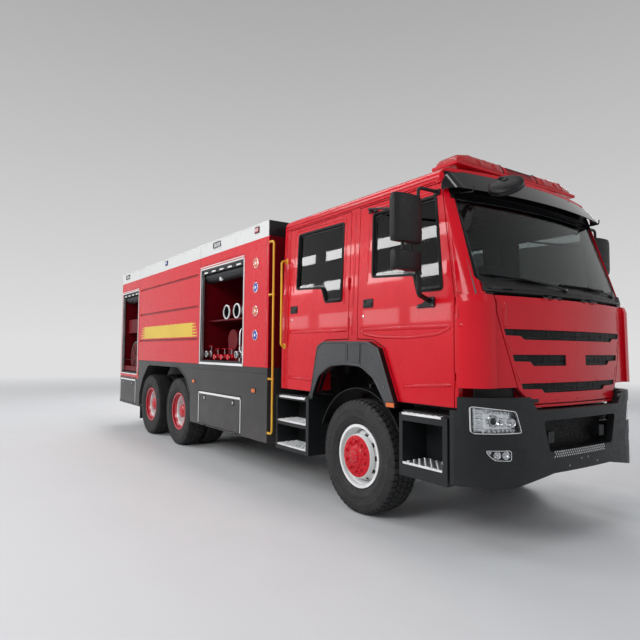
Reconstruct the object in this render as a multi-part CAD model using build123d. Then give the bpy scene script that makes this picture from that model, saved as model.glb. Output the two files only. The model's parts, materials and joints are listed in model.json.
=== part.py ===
from build123d import *
import os
from math import cos, pi, radians, sin, sqrt

os.makedirs("parts", exist_ok=True)

# Units are millimetres. +X points forward, +Y to the truck's left, +Z up from the ground.
# Lengths along the truck are laid out from the front axle.
FRONT_OVERHANG = 1600
WHEELBASE = 4600
BOGIE_SPREAD = 1400
BODY_OVERHANG = 1950
REAR_FITTING_REACH = 70
LENGTH = FRONT_OVERHANG + WHEELBASE + BOGIE_SPREAD + BODY_OVERHANG + REAR_FITTING_REACH
FRONT_X = LENGTH / 2
AXLE_X = FRONT_X - FRONT_OVERHANG
DRIVE_XS = (AXLE_X - WHEELBASE, AXLE_X - WHEELBASE - BOGIE_SPREAD)

# Wheels and tyres
TYRE_R = 538
TYRE_W = 312
BEAD_R = 287
TREAD_W = 262
FLANGE_R = 300
FLANGE_W = 250
RIM_T = 14
FRONT_TRACK_Y = 1022
KINGPIN_Y = FRONT_TRACK_Y - 107
DUAL_YS = (1084, 739)
HAND_HOLES = 10
KINGPIN_R = 24
SPINDLE_R = 45
FIT = 0.5
GAP = 8

# Chassis
RAIL_Y = 425
RAIL_FLANGE = 80
RAIL_T = 12
RAIL_Z = (720, 1000)
SUBFRAME_Z = 1200
ENGINE = (-760, 740, 330, 600, 1370)

# Cab
CAB_HALF_W = 1150
ROOF_HALF_W = 1110
CAB_BACK = 1440
CAB_NOSE = 1530
FRONT_BOW = 100
CORNER_R = 150
SCREEN_LEAN = 0.344
FACE_LEAN = 0.02
CAB_BASE_Z = 1100
WAIST_Z = 1930
ROOF_Z = 3090
SHOULDER_R = 100
WALL = 50
FLOOR_Z = 1460
FLOOR_T = 60
WELL_Y = 900
PANEL_T = 34

# Body
BODY_FRONT = 1600
BODY_HALF_W = 1250
BODY_BASE_Z = 1330
DECK_Z = 2930
PARAPET_Z = 3120
PANEL_WALL = 40
BOGIE_AT = WHEELBASE + BOGIE_SPREAD / 2
BODY_END = WHEELBASE + BOGIE_SPREAD + BODY_OVERHANG
FRONT_SEAM = BOGIE_AT - 1600
REAR_SEAM = BOGIE_AT + 1400
SKIRT_IN_Y = 800
SKIRT_Z = 440
FLAP_T = 30
STEER_ANGLE = 35
DOOR_ANGLE = 70
HINGE_R = 12
HINGE_ROOM = 6
BARREL_LENGTH = 60
SEAT = 0.3


def at_axle(x):
    """Distance ahead of the front axle, turned into the truck's own X."""
    return AXLE_X + x


BODY_FRONT_X = at_axle(-BODY_FRONT)
FRONT_SEAM_X = at_axle(-FRONT_SEAM)
REAR_SEAM_X = at_axle(-REAR_SEAM)
BODY_REAR_X = DRIVE_XS[1] - BODY_OVERHANG
CAB_REAR_X = at_axle(-CAB_BACK)
BOGIE_X = sum(DRIVE_XS) / 2


# Shape helpers
def block(x0, x1, y0, y1, z0, z1):
    """A box between two corners."""
    return Pos((x0 + x1) / 2, (y0 + y1) / 2, (z0 + z1) / 2) * Box(x1 - x0, y1 - y0, z1 - z0)


def polygon(points, radius=0):
    """A flat closed outline through the points, with its corners rounded if a radius is given."""
    face = make_face(Polyline(*points, close=True).edges())
    return fillet(face.vertices(), radius) if radius else face


def along_y(face, y0, y1):
    """A prism of an X-Z outline from y0 to y1."""
    return Plane((0, y1, 0), x_dir=(1, 0, 0), z_dir=(0, -1, 0)) * extrude(face, y1 - y0)


def along_x(face, x0, x1):
    """A prism of a Y-Z outline from x0 to x1."""
    return Plane((x0, 0, 0), x_dir=(0, 1, 0), z_dir=(1, 0, 0)) * extrude(face, x1 - x0)


def along_z(face, z0, z1):
    """A prism of an X-Y outline from z0 to z1."""
    return Pos(0, 0, z0) * extrude(face, z1 - z0)


def rod(start, end, radius):
    """A round bar between two points."""
    start, end = Vector(start), Vector(end)
    plane = Plane(start, z_dir=end - start)
    return plane * Cylinder(radius, (end - start).length, align=(Align.CENTER, Align.CENTER, Align.MIN))


def bent_tube(points, bend, radius):
    """A round tube along straight runs joined by bends."""
    path = FilletPolyline(*points, radius=bend)
    return sweep(Plane(path @ 0, z_dir=path % 0) * Circle(radius), path=path)


def left(shape):
    """The same shape on the truck's left, from the one on its right."""
    return mirror(shape, about=Plane.XZ)


def both(shape):
    """The shape on the truck's right and its twin on the left."""
    return [shape, left(shape)]


def turned(points, y):
    """A ring about a wheel's axle through y, from points of radius and distance along the axle."""
    return Pos(0, y, 0) * revolve(make_face(Polyline(*points, close=True).edges()), Axis.Y)


def union(shapes):
    """All the shapes as one."""
    shapes = list(shapes)
    whole = shapes[0]
    for shape in shapes[1:]:
        whole = whole + shape
    return whole


def save(name, *shapes):
    """Writes the solids of one piece."""
    solids = [solid for shape in shapes for solid in shape.solids()]
    whole = solids[0] if len(solids) == 1 else Compound(children=solids)
    export_step(whole, f"parts/{name}.step")


# Hinges: each has a barrel on the fixed piece and then one on the moving piece, along its axis
def hinge_fixed(shape, start, axis):
    """The fixed piece with its barrel, and room for the moving one."""
    start, axis = Vector(*start), Vector(*axis)
    middle, end = start + axis * BARREL_LENGTH, start + axis * (2 * BARREL_LENGTH + FIT)
    return (shape - rod(middle, end + axis * FIT, HINGE_R + HINGE_ROOM)) + rod(start, middle, HINGE_R)


def hinge_moving(shape, start, axis):
    """The moving piece with its barrel, and room for the fixed one."""
    start, axis = Vector(*start), Vector(*axis)
    middle, end = start + axis * (BARREL_LENGTH + FIT), start + axis * (2 * BARREL_LENGTH + FIT)
    return (shape - rod(start - axis * FIT, middle, HINGE_R + HINGE_ROOM)) + rod(middle, end, HINGE_R)


# Cab form
def cab_plan(side, front):
    """The cab seen from above at its waist, drawn in by side and front from the skin."""
    half = CAB_HALF_W - side
    corner = CORNER_R - side
    flank = half - corner
    nose = at_axle(CAB_NOSE) - front
    cheek = nose - FRONT_BOW
    back = CAB_REAR_X - 2 * CAB_HALF_W
    bend = corner * (1 - sqrt(0.5))
    edges = [
        Line((back, -half), (cheek - corner, -half)),
        ThreePointArc((cheek - corner, -half), (cheek - bend, -half + bend), (cheek, -flank)),
        ThreePointArc((cheek, -flank), (nose, 0), (cheek, flank)),
        ThreePointArc((cheek, flank), (cheek - bend, half - bend), (cheek - corner, half)),
        Line((cheek - corner, half), (back, half)),
        Line((back, half), (back, -half)),
    ]
    return make_face([edge for piece in edges for edge in piece.edges()])


def cab_front(side):
    """The cab seen from ahead: upright sides to the waist, then a slight lean in to a round roof edge."""
    half, top = CAB_HALF_W - side, ROOF_HALF_W - side
    edge = top - SHOULDER_R
    roof = ROOF_Z - side
    shoulder = roof - SHOULDER_R
    bend = SHOULDER_R * (1 - sqrt(0.5))
    crown = 14
    low = 0
    edges = [
        Line((-half, low), (-half, WAIST_Z)),
        Line((-half, WAIST_Z), (-top, shoulder)),
        ThreePointArc((-top, shoulder), (-top + bend, roof - bend), (-edge, roof)),
        ThreePointArc((-edge, roof), (0, roof + crown), (edge, roof)),
        ThreePointArc((edge, roof), (top - bend, roof - bend), (top, shoulder)),
        Line((top, shoulder), (half, WAIST_Z)),
        Line((half, WAIST_Z), (half, low)),
        Line((half, low), (-half, low)),
    ]
    return make_face([edge for piece in edges for edge in piece.edges()])


def cab_form(side, front=None, low_front=None, base=CAB_BASE_Z):
    """The cab's outer form, drawn in from the skin by side, front and, below the waist, low_front."""
    front = side if front is None else front
    low_front = front if low_front is None else low_front
    up, down = ROOF_Z + 60 - WAIST_Z, WAIST_Z - base
    upper = Pos(0, 0, WAIST_Z) * extrude(
        cab_plan(side, front), up * sqrt(1 + SCREEN_LEAN**2), dir=(-SCREEN_LEAN, 0, 1)
    )
    lower = Pos(0, 0, WAIST_Z) * extrude(
        cab_plan(side, low_front), down * sqrt(1 + FACE_LEAN**2), dir=(FACE_LEAN, 0, -1)
    )
    return (upper + lower) & along_x(cab_front(side), CAB_REAR_X + side, FRONT_X + CAB_HALF_W)


CAB_SOLID = cab_form(0)
CAB_SKIN = CAB_SOLID - cab_form(WALL, base=CAB_BASE_Z - 10)


def face_x(y, z, out=0):
    """X of the cab's front skin at a width and height."""
    bow = FRONT_BOW * (y / (CAB_HALF_W - CORNER_R)) ** 2
    lean = SCREEN_LEAN * (z - WAIST_Z) if z > WAIST_Z else -FACE_LEAN * (WAIST_Z - z)
    return at_axle(CAB_NOSE) - bow - lean + out


def side_y(z):
    """Half the cab's width at a height."""
    rise = max(0, z - WAIST_Z) / (ROOF_Z - SHOULDER_R - WAIST_Z)
    return CAB_HALF_W - (CAB_HALF_W - ROOF_HALF_W) * rise


# Door and window outlines, as points ahead of the front axle and above the ground
FRONT_DOOR = (
    (-12, 1660), (215, 1650), (375, 1580), (590, 1100), (1197, 1100), (1197, 1990), (1040, 2940),
    (-12, 2940),
)
REAR_DOOR = (
    (-1310, 1100), (-760, 1100), (-650, 1600), (-540, 1655), (-160, 1660), (-160, 2940), (-1310, 2940),
)
FRONT_WINDOW = ((190, 2238), (740, 2200), (786, 2050), (1080, 2045), (985, 2846), (178, 2850))
REAR_WINDOW = ((-1143, 2238), (-640, 2210), (-567, 2050), (-275, 2045), (-275, 2853), (-1131, 2866))
FRONT_HINGE_X = 1201
REAR_HINGE_X = -156
CORNER_BASE_Z = 1262
WINDOW_R = 30
ARCH_OUT = (
    (-790, 940), (-740, 1100), (-630, 1588), (-525, 1637), (200, 1630), (352, 1566), (564, 1085),
    (600, 1000),
)
ARCH_IN = (
    (470, 1000), (440, 1085), (300, 1300), (100, 1410), (-140, 1422), (-400, 1400), (-600, 1290),
    (-700, 1085), (-720, 940),
)
FRONT_BARREL_ZS = (1250, 1850)
REAR_BARREL_ZS = (1750, 2150)


def placed(points):
    """Points measured from the front axle, in the truck's own X."""
    return [(at_axle(x), z) for x, z in points]


def grown(points, by):
    """An outline pushed out by a gap on every side."""
    return offset(polygon(placed(points)), by, kind=Kind.INTERSECTION)


def right_prism(face):
    """A prism through the cab's right wall only."""
    return along_y(face, -CAB_HALF_W - 100, -ROOF_HALF_W + 2 * WALL + 30)


def door(points, window, hinge_x, barrel_zs):
    """A right-hand door shell as thick as the wall, with its window cut and its hinge barrels."""
    shell = (CAB_SKIN & right_prism(polygon(placed(points)))) - right_prism(
        polygon(placed(window), WINDOW_R)
    )
    for z in barrel_zs:
        shell = hinge_moving(shell, (at_axle(hinge_x), -CAB_HALF_W, z), (0, 0, 1))
    return shell


def glass(window):
    """The pane of a right-hand window, seated in its opening."""
    pane = cab_form(WALL / 2 - 3) - cab_form(WALL / 2 + 3, base=CAB_BASE_Z - 10)
    face = offset(polygon(placed(window), WINDOW_R), -0.3)
    return pane & right_prism(face)


# Cab shell
PANEL_TOP = 1985
SCREEN = ((-960, 2035), (960, 2035), (1075, 2120), (1045, 2860), (-1045, 2860), (-1075, 2120))
SCREEN_R = 50
PANEL_HEAD_GAP = 22
PANEL_GAP = 11
PANEL_HINGE_YS = (150, 290)
PANEL_AXIS_Z = PANEL_TOP + GAP / 2
PANEL_AXIS_X = face_x(0, PANEL_AXIS_Z) - HINGE_R
PANEL_TOP_HALF = 935
PANEL = (
    (-600, 1130), (600, 1130), (735, 1250), (900, 1740), (PANEL_TOP_HALF, 1860),
    (PANEL_TOP_HALF, PANEL_TOP),
    (-PANEL_TOP_HALF, PANEL_TOP), (-PANEL_TOP_HALF, 1860), (-900, 1740), (-735, 1250),
)


def cab_shell():
    cavity = cab_form(WALL, low_front=PANEL_T + PANEL_GAP + WALL, base=FLOOR_Z)
    shell = CAB_SOLID - cavity
    under = cab_form(WALL, low_front=PANEL_T + PANEL_GAP + WALL, base=CAB_BASE_Z - 10)
    shell = shell - (under & block(CAB_REAR_X - 10, FRONT_X, -CAB_HALF_W, CAB_HALF_W, 0, FLOOR_Z - FLOOR_T))
    shell = shell - block(
        CAB_REAR_X - 10, CAB_REAR_X + WALL + 1, -CAB_HALF_W + 200, CAB_HALF_W - 200, 0, FLOOR_Z - FLOOR_T
    )
    # Step wells behind each door's lower part
    for x0, x1 in ((610, 1180), (-1300, -800)):
        well = block(at_axle(x0), at_axle(x1), -CAB_HALF_W + WALL + GAP, -WELL_Y, CAB_BASE_Z + 6, FLOOR_Z)
        hollow = block(
            at_axle(x0 + 20), at_axle(x1 - 20), -CAB_HALF_W, -WELL_Y - 20, CAB_BASE_Z + 30, FLOOR_Z + 1
        )
        for add, cut in zip(both(well), both(hollow)):
            shell = (shell + add) - cut
    inner = cab_form(WALL + GAP, base=CAB_BASE_Z - 10)
    for points in (FRONT_DOOR, REAR_DOOR):
        opening = right_prism(grown(points, GAP)) - inner
        for cut in both(opening):
            shell = shell - cut
    for cut in both(along_y(polygon(placed(ARCH_IN)), -CAB_HALF_W - 10, -CAB_HALF_W + WALL)):
        shell = shell - cut
    shell = shell - along_x(polygon(SCREEN, SCREEN_R), at_axle(CAB_NOSE) - 700, FRONT_X + 100)
    recess = CAB_SOLID - cab_form(0, front=PANEL_T + PANEL_GAP, base=CAB_BASE_Z - 10)
    around = offset(polygon(PANEL), PANEL_GAP, kind=Kind.INTERSECTION)
    above = Pos(0, PANEL_TOP + PANEL_HEAD_GAP / 2) * Rectangle(2 * PANEL_TOP_HALF, PANEL_HEAD_GAP)
    shell = shell - (recess & along_x(around + above, AXLE_X, FRONT_X + 100))
    for hinge_x, zs in ((FRONT_HINGE_X, FRONT_BARREL_ZS), (REAR_HINGE_X, REAR_BARREL_ZS)):
        for z in zs:
            for y in (-CAB_HALF_W, CAB_HALF_W):
                shell = hinge_fixed(shell, (at_axle(hinge_x), y, z), (0, 0, 1))
    for side in (-1, 1):
        for y in PANEL_HINGE_YS:
            start = (PANEL_AXIS_X, side * y, PANEL_AXIS_Z)
            shell = shell + block(
                PANEL_AXIS_X - 36, PANEL_AXIS_X + 6, min(side * y, side * (y + BARREL_LENGTH)),
                max(side * y, side * (y + BARREL_LENGTH)), PANEL_AXIS_Z + 2, PANEL_AXIS_Z + 26,
            )
            shell = hinge_fixed(shell, start, (0, side, 0))
    # Lower front corners stop above the bumper
    for cut in both(block(at_axle(1240), FRONT_X + 200, -CAB_HALF_W - 100, -680, 0, CORNER_BASE_Z)):
        shell = shell - cut
    corner = (cab_form(-45, front=-30) - CAB_SOLID) & block(
        at_axle(1262), FRONT_X + 200, -1400, -985, CORNER_BASE_Z, 1985
    )
    for add in both(corner):
        shell = shell + add
    return shell


def windscreen():
    pane = cab_form(WALL / 2 - 4) - cab_form(WALL / 2 + 4, base=CAB_BASE_Z - 10)
    face = offset(polygon(SCREEN, SCREEN_R), -0.3)
    return pane & along_x(face, at_axle(CAB_NOSE) - 700, FRONT_X + 100)


# Front panel, hinged along its top edge
# Slots of the grille. Each is one outline of points out from the middle and up from the ground.
TOP_SLOT = ((0, 1722), (872, 1722), (852, 1672), (700, 1668), (655, 1640), (0, 1640))
SIDE_SLOT = ((150, 1520), (790, 1520), (772, 1468), (600, 1464), (560, 1430), (150, 1430))
LOW_SLOT = ((0, 1292), (705, 1292), (690, 1248), (480, 1244), (440, 1212), (0, 1212))


def slot_outlines():
    """The grille's slots: one at the top, two beside the middle column and one below."""
    made = []
    for half in (TOP_SLOT, SIDE_SLOT, LOW_SLOT):
        other = [(-y, z) for y, z in reversed(half)]
        made += [(*half[1:-1], *other[1:-1])] if half[0][0] == 0 else [half, other]
    return [polygon(points) for points in made]


def front_panel():
    skin = CAB_SOLID - cab_form(0, front=PANEL_T, base=CAB_BASE_Z - 10)
    panel = skin & along_x(polygon(PANEL), AXLE_X, FRONT_X + 100)
    for slot in slot_outlines():
        panel = panel - along_x(slot, AXLE_X, FRONT_X + 100)
    for side in (-1, 1):
        for y in PANEL_HINGE_YS:
            panel = hinge_moving(panel, (PANEL_AXIS_X, side * y, PANEL_AXIS_Z), (0, side, 0))
    return panel


def grille():
    """Dark louvre strips seated in the slots."""
    layer = cab_form(0, front=PANEL_T - 20, base=CAB_BASE_Z - 10) - cab_form(
        0, front=PANEL_T - 6, base=CAB_BASE_Z - 10
    )
    return [layer & along_x(offset(slot, -SEAT), AXLE_X, FRONT_X + 100) for slot in slot_outlines()]


# Running gear
def tyre(y):
    half, tread = TYRE_W / 2, TREAD_W / 2
    shoulder_r = TYRE_R - 16
    seat = FLANGE_W / 2 - 12 - FIT
    profile = (
        (BEAD_R + FIT, -seat), (FLANGE_R + FIT, -seat), (FLANGE_R + 18, -seat - 18), (415, -half),
        (shoulder_r, -tread - 14), (TYRE_R, -tread + 22), (TYRE_R, tread - 22), (shoulder_r, tread + 14),
        (415, half),
        (FLANGE_R + 18, seat + 18), (FLANGE_R + FIT, seat), (BEAD_R + FIT, seat),
    )
    return turned(profile, y)


HUB_BORE_R = SPINDLE_R + FIT


def rim_barrel(y):
    """A rim's band between its two flanges."""
    half, well = FLANGE_W / 2, BEAD_R - 28
    profile = (
        (FLANGE_R, -half), (FLANGE_R, -half + 10), (BEAD_R, -half + 12), (BEAD_R, -half + 45),
        (well, -half + 75),
        (well, half - 75), (BEAD_R, half - 45), (BEAD_R, half - 12), (FLANGE_R, half - 10),
        (FLANGE_R, half),
        (BEAD_R - RIM_T, half), (BEAD_R - RIM_T, half - 40), (well - RIM_T, half - 80),
        (well - RIM_T, -half + 80),
        (BEAD_R - RIM_T, -half + 40), (BEAD_R - RIM_T, -half),
    )
    return turned(profile, y)


def hand_holes(wheel, radius, hole_r, y):
    """The wheel with its ring of hand holes cut through the disc."""
    for step in range(HAND_HOLES):
        angle = 2 * pi * step / HAND_HOLES
        centre = (radius * cos(angle), y - 120, radius * sin(angle))
        wheel = wheel - rod(centre, (centre[0], y + 120, centre[2]), hole_r)
    return wheel


def front_wheel():
    """Left front wheel about the origin: the disc bulges out round the hub. Y runs outward."""
    well = BEAD_R - 28 - RIM_T / 2
    disc = (
        (well, 0), (well, 14), (212, 78), (180, 96), (150, 100), (HUB_BORE_R, 100), (HUB_BORE_R, 84),
        (150, 84), (174, 80),
        (202, 66),
    )
    hub = (
        (HUB_BORE_R, 20), (HUB_BORE_R, 120), (0.01, 120), (0.01, 150), (60, 150), (84, 138), (92, 100),
        (92, 20),
    )
    wheel = rim_barrel(0) + turned(disc, 0)
    wheel = hand_holes(wheel, 205, 24, 0)
    return wheel + turned(hub, 0)


def rear_wheels():
    """Left rear pair about the origin, with the two discs meeting midway. Y runs outward from the middle."""
    reach = (DUAL_YS[0] - DUAL_YS[1]) / 2
    well = BEAD_R - 28 - RIM_T / 2
    disc = (
        (well, reach - 20), (well, reach - 2), (222, 60), (196, 20), (176, 14), (HUB_BORE_R + 10, 14),
        (HUB_BORE_R + 10, 0),
        (182, 0), (206, 12), (234, 60),
    )
    hub = (
        (HUB_BORE_R, -60), (HUB_BORE_R, 220), (0.01, 220), (0.01, 250), (70, 250), (104, 236), (112, 160),
        (118, 30),
        (132, 14), (132, -30), (112, -60),
    )
    wheel = rim_barrel(reach) + rim_barrel(-reach) + turned(disc, 0) + mirror(
        turned(disc, 0), about=Plane.XZ
    )
    wheel = hand_holes(wheel, 206, 22, 0)
    return wheel + turned(hub, 0)


def knuckle():
    """Left steering knuckle: a fork on the kingpin, its plate and the wheel spindle."""
    x, z = AXLE_X, TYRE_R
    fork = 62
    pin = rod((x, KINGPIN_Y, z - fork - 34), (x, KINGPIN_Y, z + fork + 34), KINGPIN_R)
    back = block(x - 60, x + 60, KINGPIN_Y + 62, KINGPIN_Y + 92, z - fork - 34, z + fork + 34)
    ears = [
        block(x - 46, x + 46, KINGPIN_Y - 46, KINGPIN_Y + 70, z + fork + 4, z + fork + 34),
        block(x - 46, x + 46, KINGPIN_Y - 46, KINGPIN_Y + 70, z - fork - 34, z - fork - 4),
    ]
    shield = rod((x, KINGPIN_Y + 70, z), (x, KINGPIN_Y + 84, z), 190)
    spindle = rod((x, KINGPIN_Y + 80, z), (x, FRONT_TRACK_Y + 118, z), SPINDLE_R)
    return union([pin, back, shield, spindle, *ears])


def front_axle():
    x, z = AXLE_X, TYRE_R
    outline = polygon((
        (-KINGPIN_Y, z - 45), (-KINGPIN_Y, z + 45), (-700, z + 40), (-560, z - 5), (560, z - 5),
        (700, z + 40),
        (KINGPIN_Y, z + 45), (KINGPIN_Y, z - 45), (720, z - 50), (560, z - 100), (-560, z - 100),
        (-720, z - 50),
    ))
    beam = along_x(outline, x - 48, x + 48)
    for y in (-KINGPIN_Y, KINGPIN_Y):
        beam = beam + rod((x, y, z - 62), (x, y, z + 62), 52)
    for y in (-KINGPIN_Y, KINGPIN_Y):
        beam = beam - rod((x, y, z - 200), (x, y, z + 200), KINGPIN_R + FIT)
    springs = []
    for y in (-RAIL_Y + 40, RAIL_Y - 40):
        leaf = polygon((
            (x - 760, z + 130), (x - 500, z + 60), (x, z - 5), (x + 500, z + 60), (x + 760, z + 130),
            (x + 760, z + 160), (x + 500, z + 100), (x + 120, z + 70), (x - 120, z + 70),
            (x - 500, z + 100), (x - 760, z + 160),
        ))
        springs.append(along_y(leaf, y - 40, y + 40))
        for end in (-745, 745):
            springs.append(block(x + end - 25, x + end + 25, y - 30, y + 30, z + 140, RAIL_Z[0] - 0.3))
    return union([beam, *springs])


AXLE_TUBE_R = 85
AXLE_TUBE_Y = 560
GEARBOX_L = 600
OUTPUT_Z = 690


def drive_axles():
    """Both driven axles, their springs on one trunnion, and the shafts that turn them."""
    z = TYRE_R
    pieces = []
    for x in DRIVE_XS:
        pieces.append(rod((x, -AXLE_TUBE_Y, z), (x, AXLE_TUBE_Y, z), AXLE_TUBE_R))
        pieces.append(rod((x - 110, 0, z), (x + 110, 0, z), 200))
        for side in (-1, 1):
            pieces.append(
                rod((x, side * (AXLE_TUBE_Y - 5), z), (x, side * (DUAL_YS[0] + 42), z), SPINDLE_R)
            )
            pieces.append(rod((x, side * (AXLE_TUBE_Y - 30), z), (x, side * (AXLE_TUBE_Y + 20), z), 200))
    for side in (-1, 1):
        y = side * (RAIL_Y + 55)
        leaf = polygon((
            (DRIVE_XS[1] - 60, z + 70), (DRIVE_XS[0] + 60, z + 70), (DRIVE_XS[0] + 60, z + 100),
            (BOGIE_X + 160, z + 200),
            (BOGIE_X - 160, z + 200), (DRIVE_XS[1] - 60, z + 100),
        ))
        pieces.append(along_y(leaf, y - 40, y + 40))
        pieces.append(
            block(BOGIE_X - 90, BOGIE_X + 90, min(y, side * (RAIL_Y + 0.3)), max(y, side * (RAIL_Y + 0.3)), z + 90, z + 300),
        )
    pieces.append(rod((DRIVE_XS[1], 0, z + 40), (DRIVE_XS[0], 0, z + 40), 55))
    output = at_axle(ENGINE[0] - GEARBOX_L) - SEAT
    pieces.append(rod((DRIVE_XS[0], 0, z + 60), (output - 90, 0, OUTPUT_Z), 45))
    pieces.append(rod((output - 120, 0, OUTPUT_Z), (output, 0, OUTPUT_Z), 60))
    return union(pieces)


def engine():
    x0, x1, half, z0, z1 = ENGINE
    motor = block(at_axle(x0), at_axle(x1), -half, half, z0, z1)
    gearbox = block(at_axle(x0 - GEARBOX_L), at_axle(x0 + 1), -220, 220, z0 + 20, z0 + 420)
    return motor + gearbox


RAIL_FRONT = 1180
CROSS_XS = (1120, -1500, -2300, -3100, -BOGIE_AT + 1400, -BODY_END + 250)

CAB_MOUNT_XS = (1060, -1300)
COUPLING_X = BODY_REAR_X + 5
COUPLING_Z = 840
COUPLING_H = 120
COUPLING_BORE_R = 25


def frame_rails():
    """Two channel rails, cross-members, the cab's four mounts, the rear guard and the tow coupling."""
    x0, x1 = BODY_REAR_X + 60, at_axle(RAIL_FRONT)
    low, high = RAIL_Z
    channel = polygon((
        (-RAIL_Y, low), (-RAIL_Y + RAIL_FLANGE, low), (-RAIL_Y + RAIL_FLANGE, low + RAIL_T),
        (-RAIL_Y + RAIL_T, low + RAIL_T),
        (-RAIL_Y + RAIL_T, high - RAIL_T), (-RAIL_Y + RAIL_FLANGE, high - RAIL_T),
        (-RAIL_Y + RAIL_FLANGE, high), (-RAIL_Y, high),
    ))
    rail = along_x(channel, x0, x1)
    inside = RAIL_Y - RAIL_T + 1
    members = [
        block(at_axle(x) - 40, at_axle(x) + 40, -inside, inside, low + 60, high - 60) for x in CROSS_XS
    ]
    members.append(block(BOGIE_X - 90, BOGIE_X + 90, -inside, inside, low + 60, high - 60))
    guard = block(x0 - 30, x0 + 50, -SKIRT_IN_Y + GAP, SKIRT_IN_Y - GAP, 520, 640)
    stays = [block(x0 - 20, x0 + 40, y - 30, y + 30, 560, low + 20) for y in (-RAIL_Y + 40, RAIL_Y - 40)]
    plate = block(x0 - 30, x0 + 10, -RAIL_Y, RAIL_Y, low, high)
    half = COUPLING_H / 2
    coupling = block(COUPLING_X - 55, x0, -60, 60, COUPLING_Z - half, COUPLING_Z + half)
    coupling = coupling - rod(
        (COUPLING_X, 0, COUPLING_Z - half - 1), (COUPLING_X, 0, COUPLING_Z + half + 1), COUPLING_BORE_R
    )
    mounts = [
        block(at_axle(x) - 45, at_axle(x) + 45, y - 45, y + 45, high - 1, FLOOR_Z - FLOOR_T - SEAT)
        for x in CAB_MOUNT_XS for y in (-RAIL_Y + 35, RAIL_Y - 35)
    ]
    return union([rail, left(rail), *members, *mounts, guard, *stays, plate, coupling])


def subframe():
    """Body bearers: two long beams on the rails and cross bearers on top of them."""
    x0, x1 = BODY_REAR_X + 60, BODY_FRONT_X - 40
    high = RAIL_Z[1]
    beams = [block(x0, x1, y - 40, y + 40, high, SUBFRAME_Z + 1) for y in (-RAIL_Y + 40, RAIL_Y - 40)]
    count = 8
    bearers = []
    for step in range(count):
        x = x0 + 60 + (x1 - x0 - 120) * step / (count - 1)
        if x > REAR_SEAM_X:
            bearers.append(block(x - 40, x + 40, -SKIRT_IN_Y, SKIRT_IN_Y, SUBFRAME_Z, BODY_BASE_Z))
    return union([*beams, *bearers])


# Body
# Rear wheel arch, as points ahead of the middle between the driven axles and above the ground
ARCH_REAR = -1300
ARCH_BODY = (
    (ARCH_REAR, 400), (ARCH_REAR, 680), (-1120, 985), (-785, 1262), (750, 1262), (1100, 1105), (1265, 850),
    (1310, 400),
)
REAR_BASE_Z = 970
# Openings and flaps: rear end, front end, bottom and top
FRONT_OPENING = (-FRONT_SEAM + 40, -2240, 1355, 2738)
REAR_OPENING = (-BODY_END + 70, -REAR_SEAM - 70, 1050, 2705)
FRONT_FLAP = (-FRONT_SEAM + 20, -2280, 462, 930)
REAR_FLAP = (-BODY_END + 30, -REAR_SEAM - 150, 480, 950)
LOCKER_DEPTH = 950


def locker_opening(spec, y0):
    x0, x1, z0, z1 = spec
    return block(at_axle(x0), at_axle(x1), -BODY_HALF_W - 10, -y0, z0, z1)


def front_locker():
    shell = block(FRONT_SEAM_X, BODY_FRONT_X, -BODY_HALF_W, BODY_HALF_W, BODY_BASE_Z, DECK_Z)
    for cut in both(locker_opening(FRONT_OPENING, BODY_HALF_W - LOCKER_DEPTH)):
        shell = shell - cut
    return shell


# Grooves pressed along the tank's sides
TANK_GROOVE_ZS = (1705, 2200, 2680)
TANK_GROOVE_H = 36
TANK_GROOVE_DEPTH = 14
TANK_GROOVE_INSET = 60


def tank_section():
    shell = block(REAR_SEAM_X, FRONT_SEAM_X, -BODY_HALF_W, BODY_HALF_W, BODY_BASE_Z, DECK_Z)
    for z in TANK_GROOVE_ZS:
        groove = block(
            REAR_SEAM_X + TANK_GROOVE_INSET, FRONT_SEAM_X - TANK_GROOVE_INSET, -BODY_HALF_W - 1,
            -BODY_HALF_W + TANK_GROOVE_DEPTH, z - TANK_GROOVE_H / 2, z + TANK_GROOVE_H / 2,
        )
        for cut in both(groove):
            shell = shell - cut
    return shell


REAR_HATCH = (-620, 620, SUBFRAME_Z + 40, 2700)
HATCH_HINGE_YS = (-500, 380)


def rear_locker():
    shell = block(BODY_REAR_X, REAR_SEAM_X, -BODY_HALF_W, BODY_HALF_W, REAR_BASE_Z, DECK_Z)
    shell = shell - block(
        BODY_REAR_X - 1, REAR_SEAM_X + 1, -SKIRT_IN_Y, SKIRT_IN_Y, REAR_BASE_Z - 1, SUBFRAME_Z + 1
    )
    for cut in both(locker_opening(REAR_OPENING, SKIRT_IN_Y - 50)):
        shell = shell - cut
    y0, y1, z0, z1 = REAR_HATCH
    shell = shell - block(BODY_REAR_X - 1, BODY_REAR_X + 900, y0, y1, z0, z1)
    for y in HATCH_HINGE_YS:
        shell = hinge_fixed(shell, (BODY_REAR_X, y, z1 - GAP / 2), (0, 1, 0))
    return shell


def rear_hatch():
    y0, y1, z0, z1 = REAR_HATCH
    hatch = block(BODY_REAR_X, BODY_REAR_X + PANEL_WALL, y0 + GAP, y1 - GAP, z0 + GAP, z1 - GAP)
    for y in HATCH_HINGE_YS:
        hatch = hinge_moving(hatch, (BODY_REAR_X, y, z1 - GAP / 2), (0, 1, 0))
    return hatch


DECK_T = 20
# Store boxes along both edges of the roof, as pairs of ends behind the front axle
ROOF_BOXES = (
    (-BODY_END + 150, -REAR_SEAM - 100), (-REAR_SEAM + 150, -FRONT_SEAM - 100),
    (-FRONT_SEAM + 150, -BODY_FRONT - 1150),
)
ROOF_BOX_W = 260
ROOF_BOX_INSET = 100
ROOF_BOX_H = 125
MANHOLE_XS = (-BOGIE_AT + 850, -BOGIE_AT - 650)
MANHOLE_R = 300
MANHOLE_H = 55
VENT_X = -BOGIE_AT + 100
VENT_Y = 550
VENT_R = 70
VENT_H = 95


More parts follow.
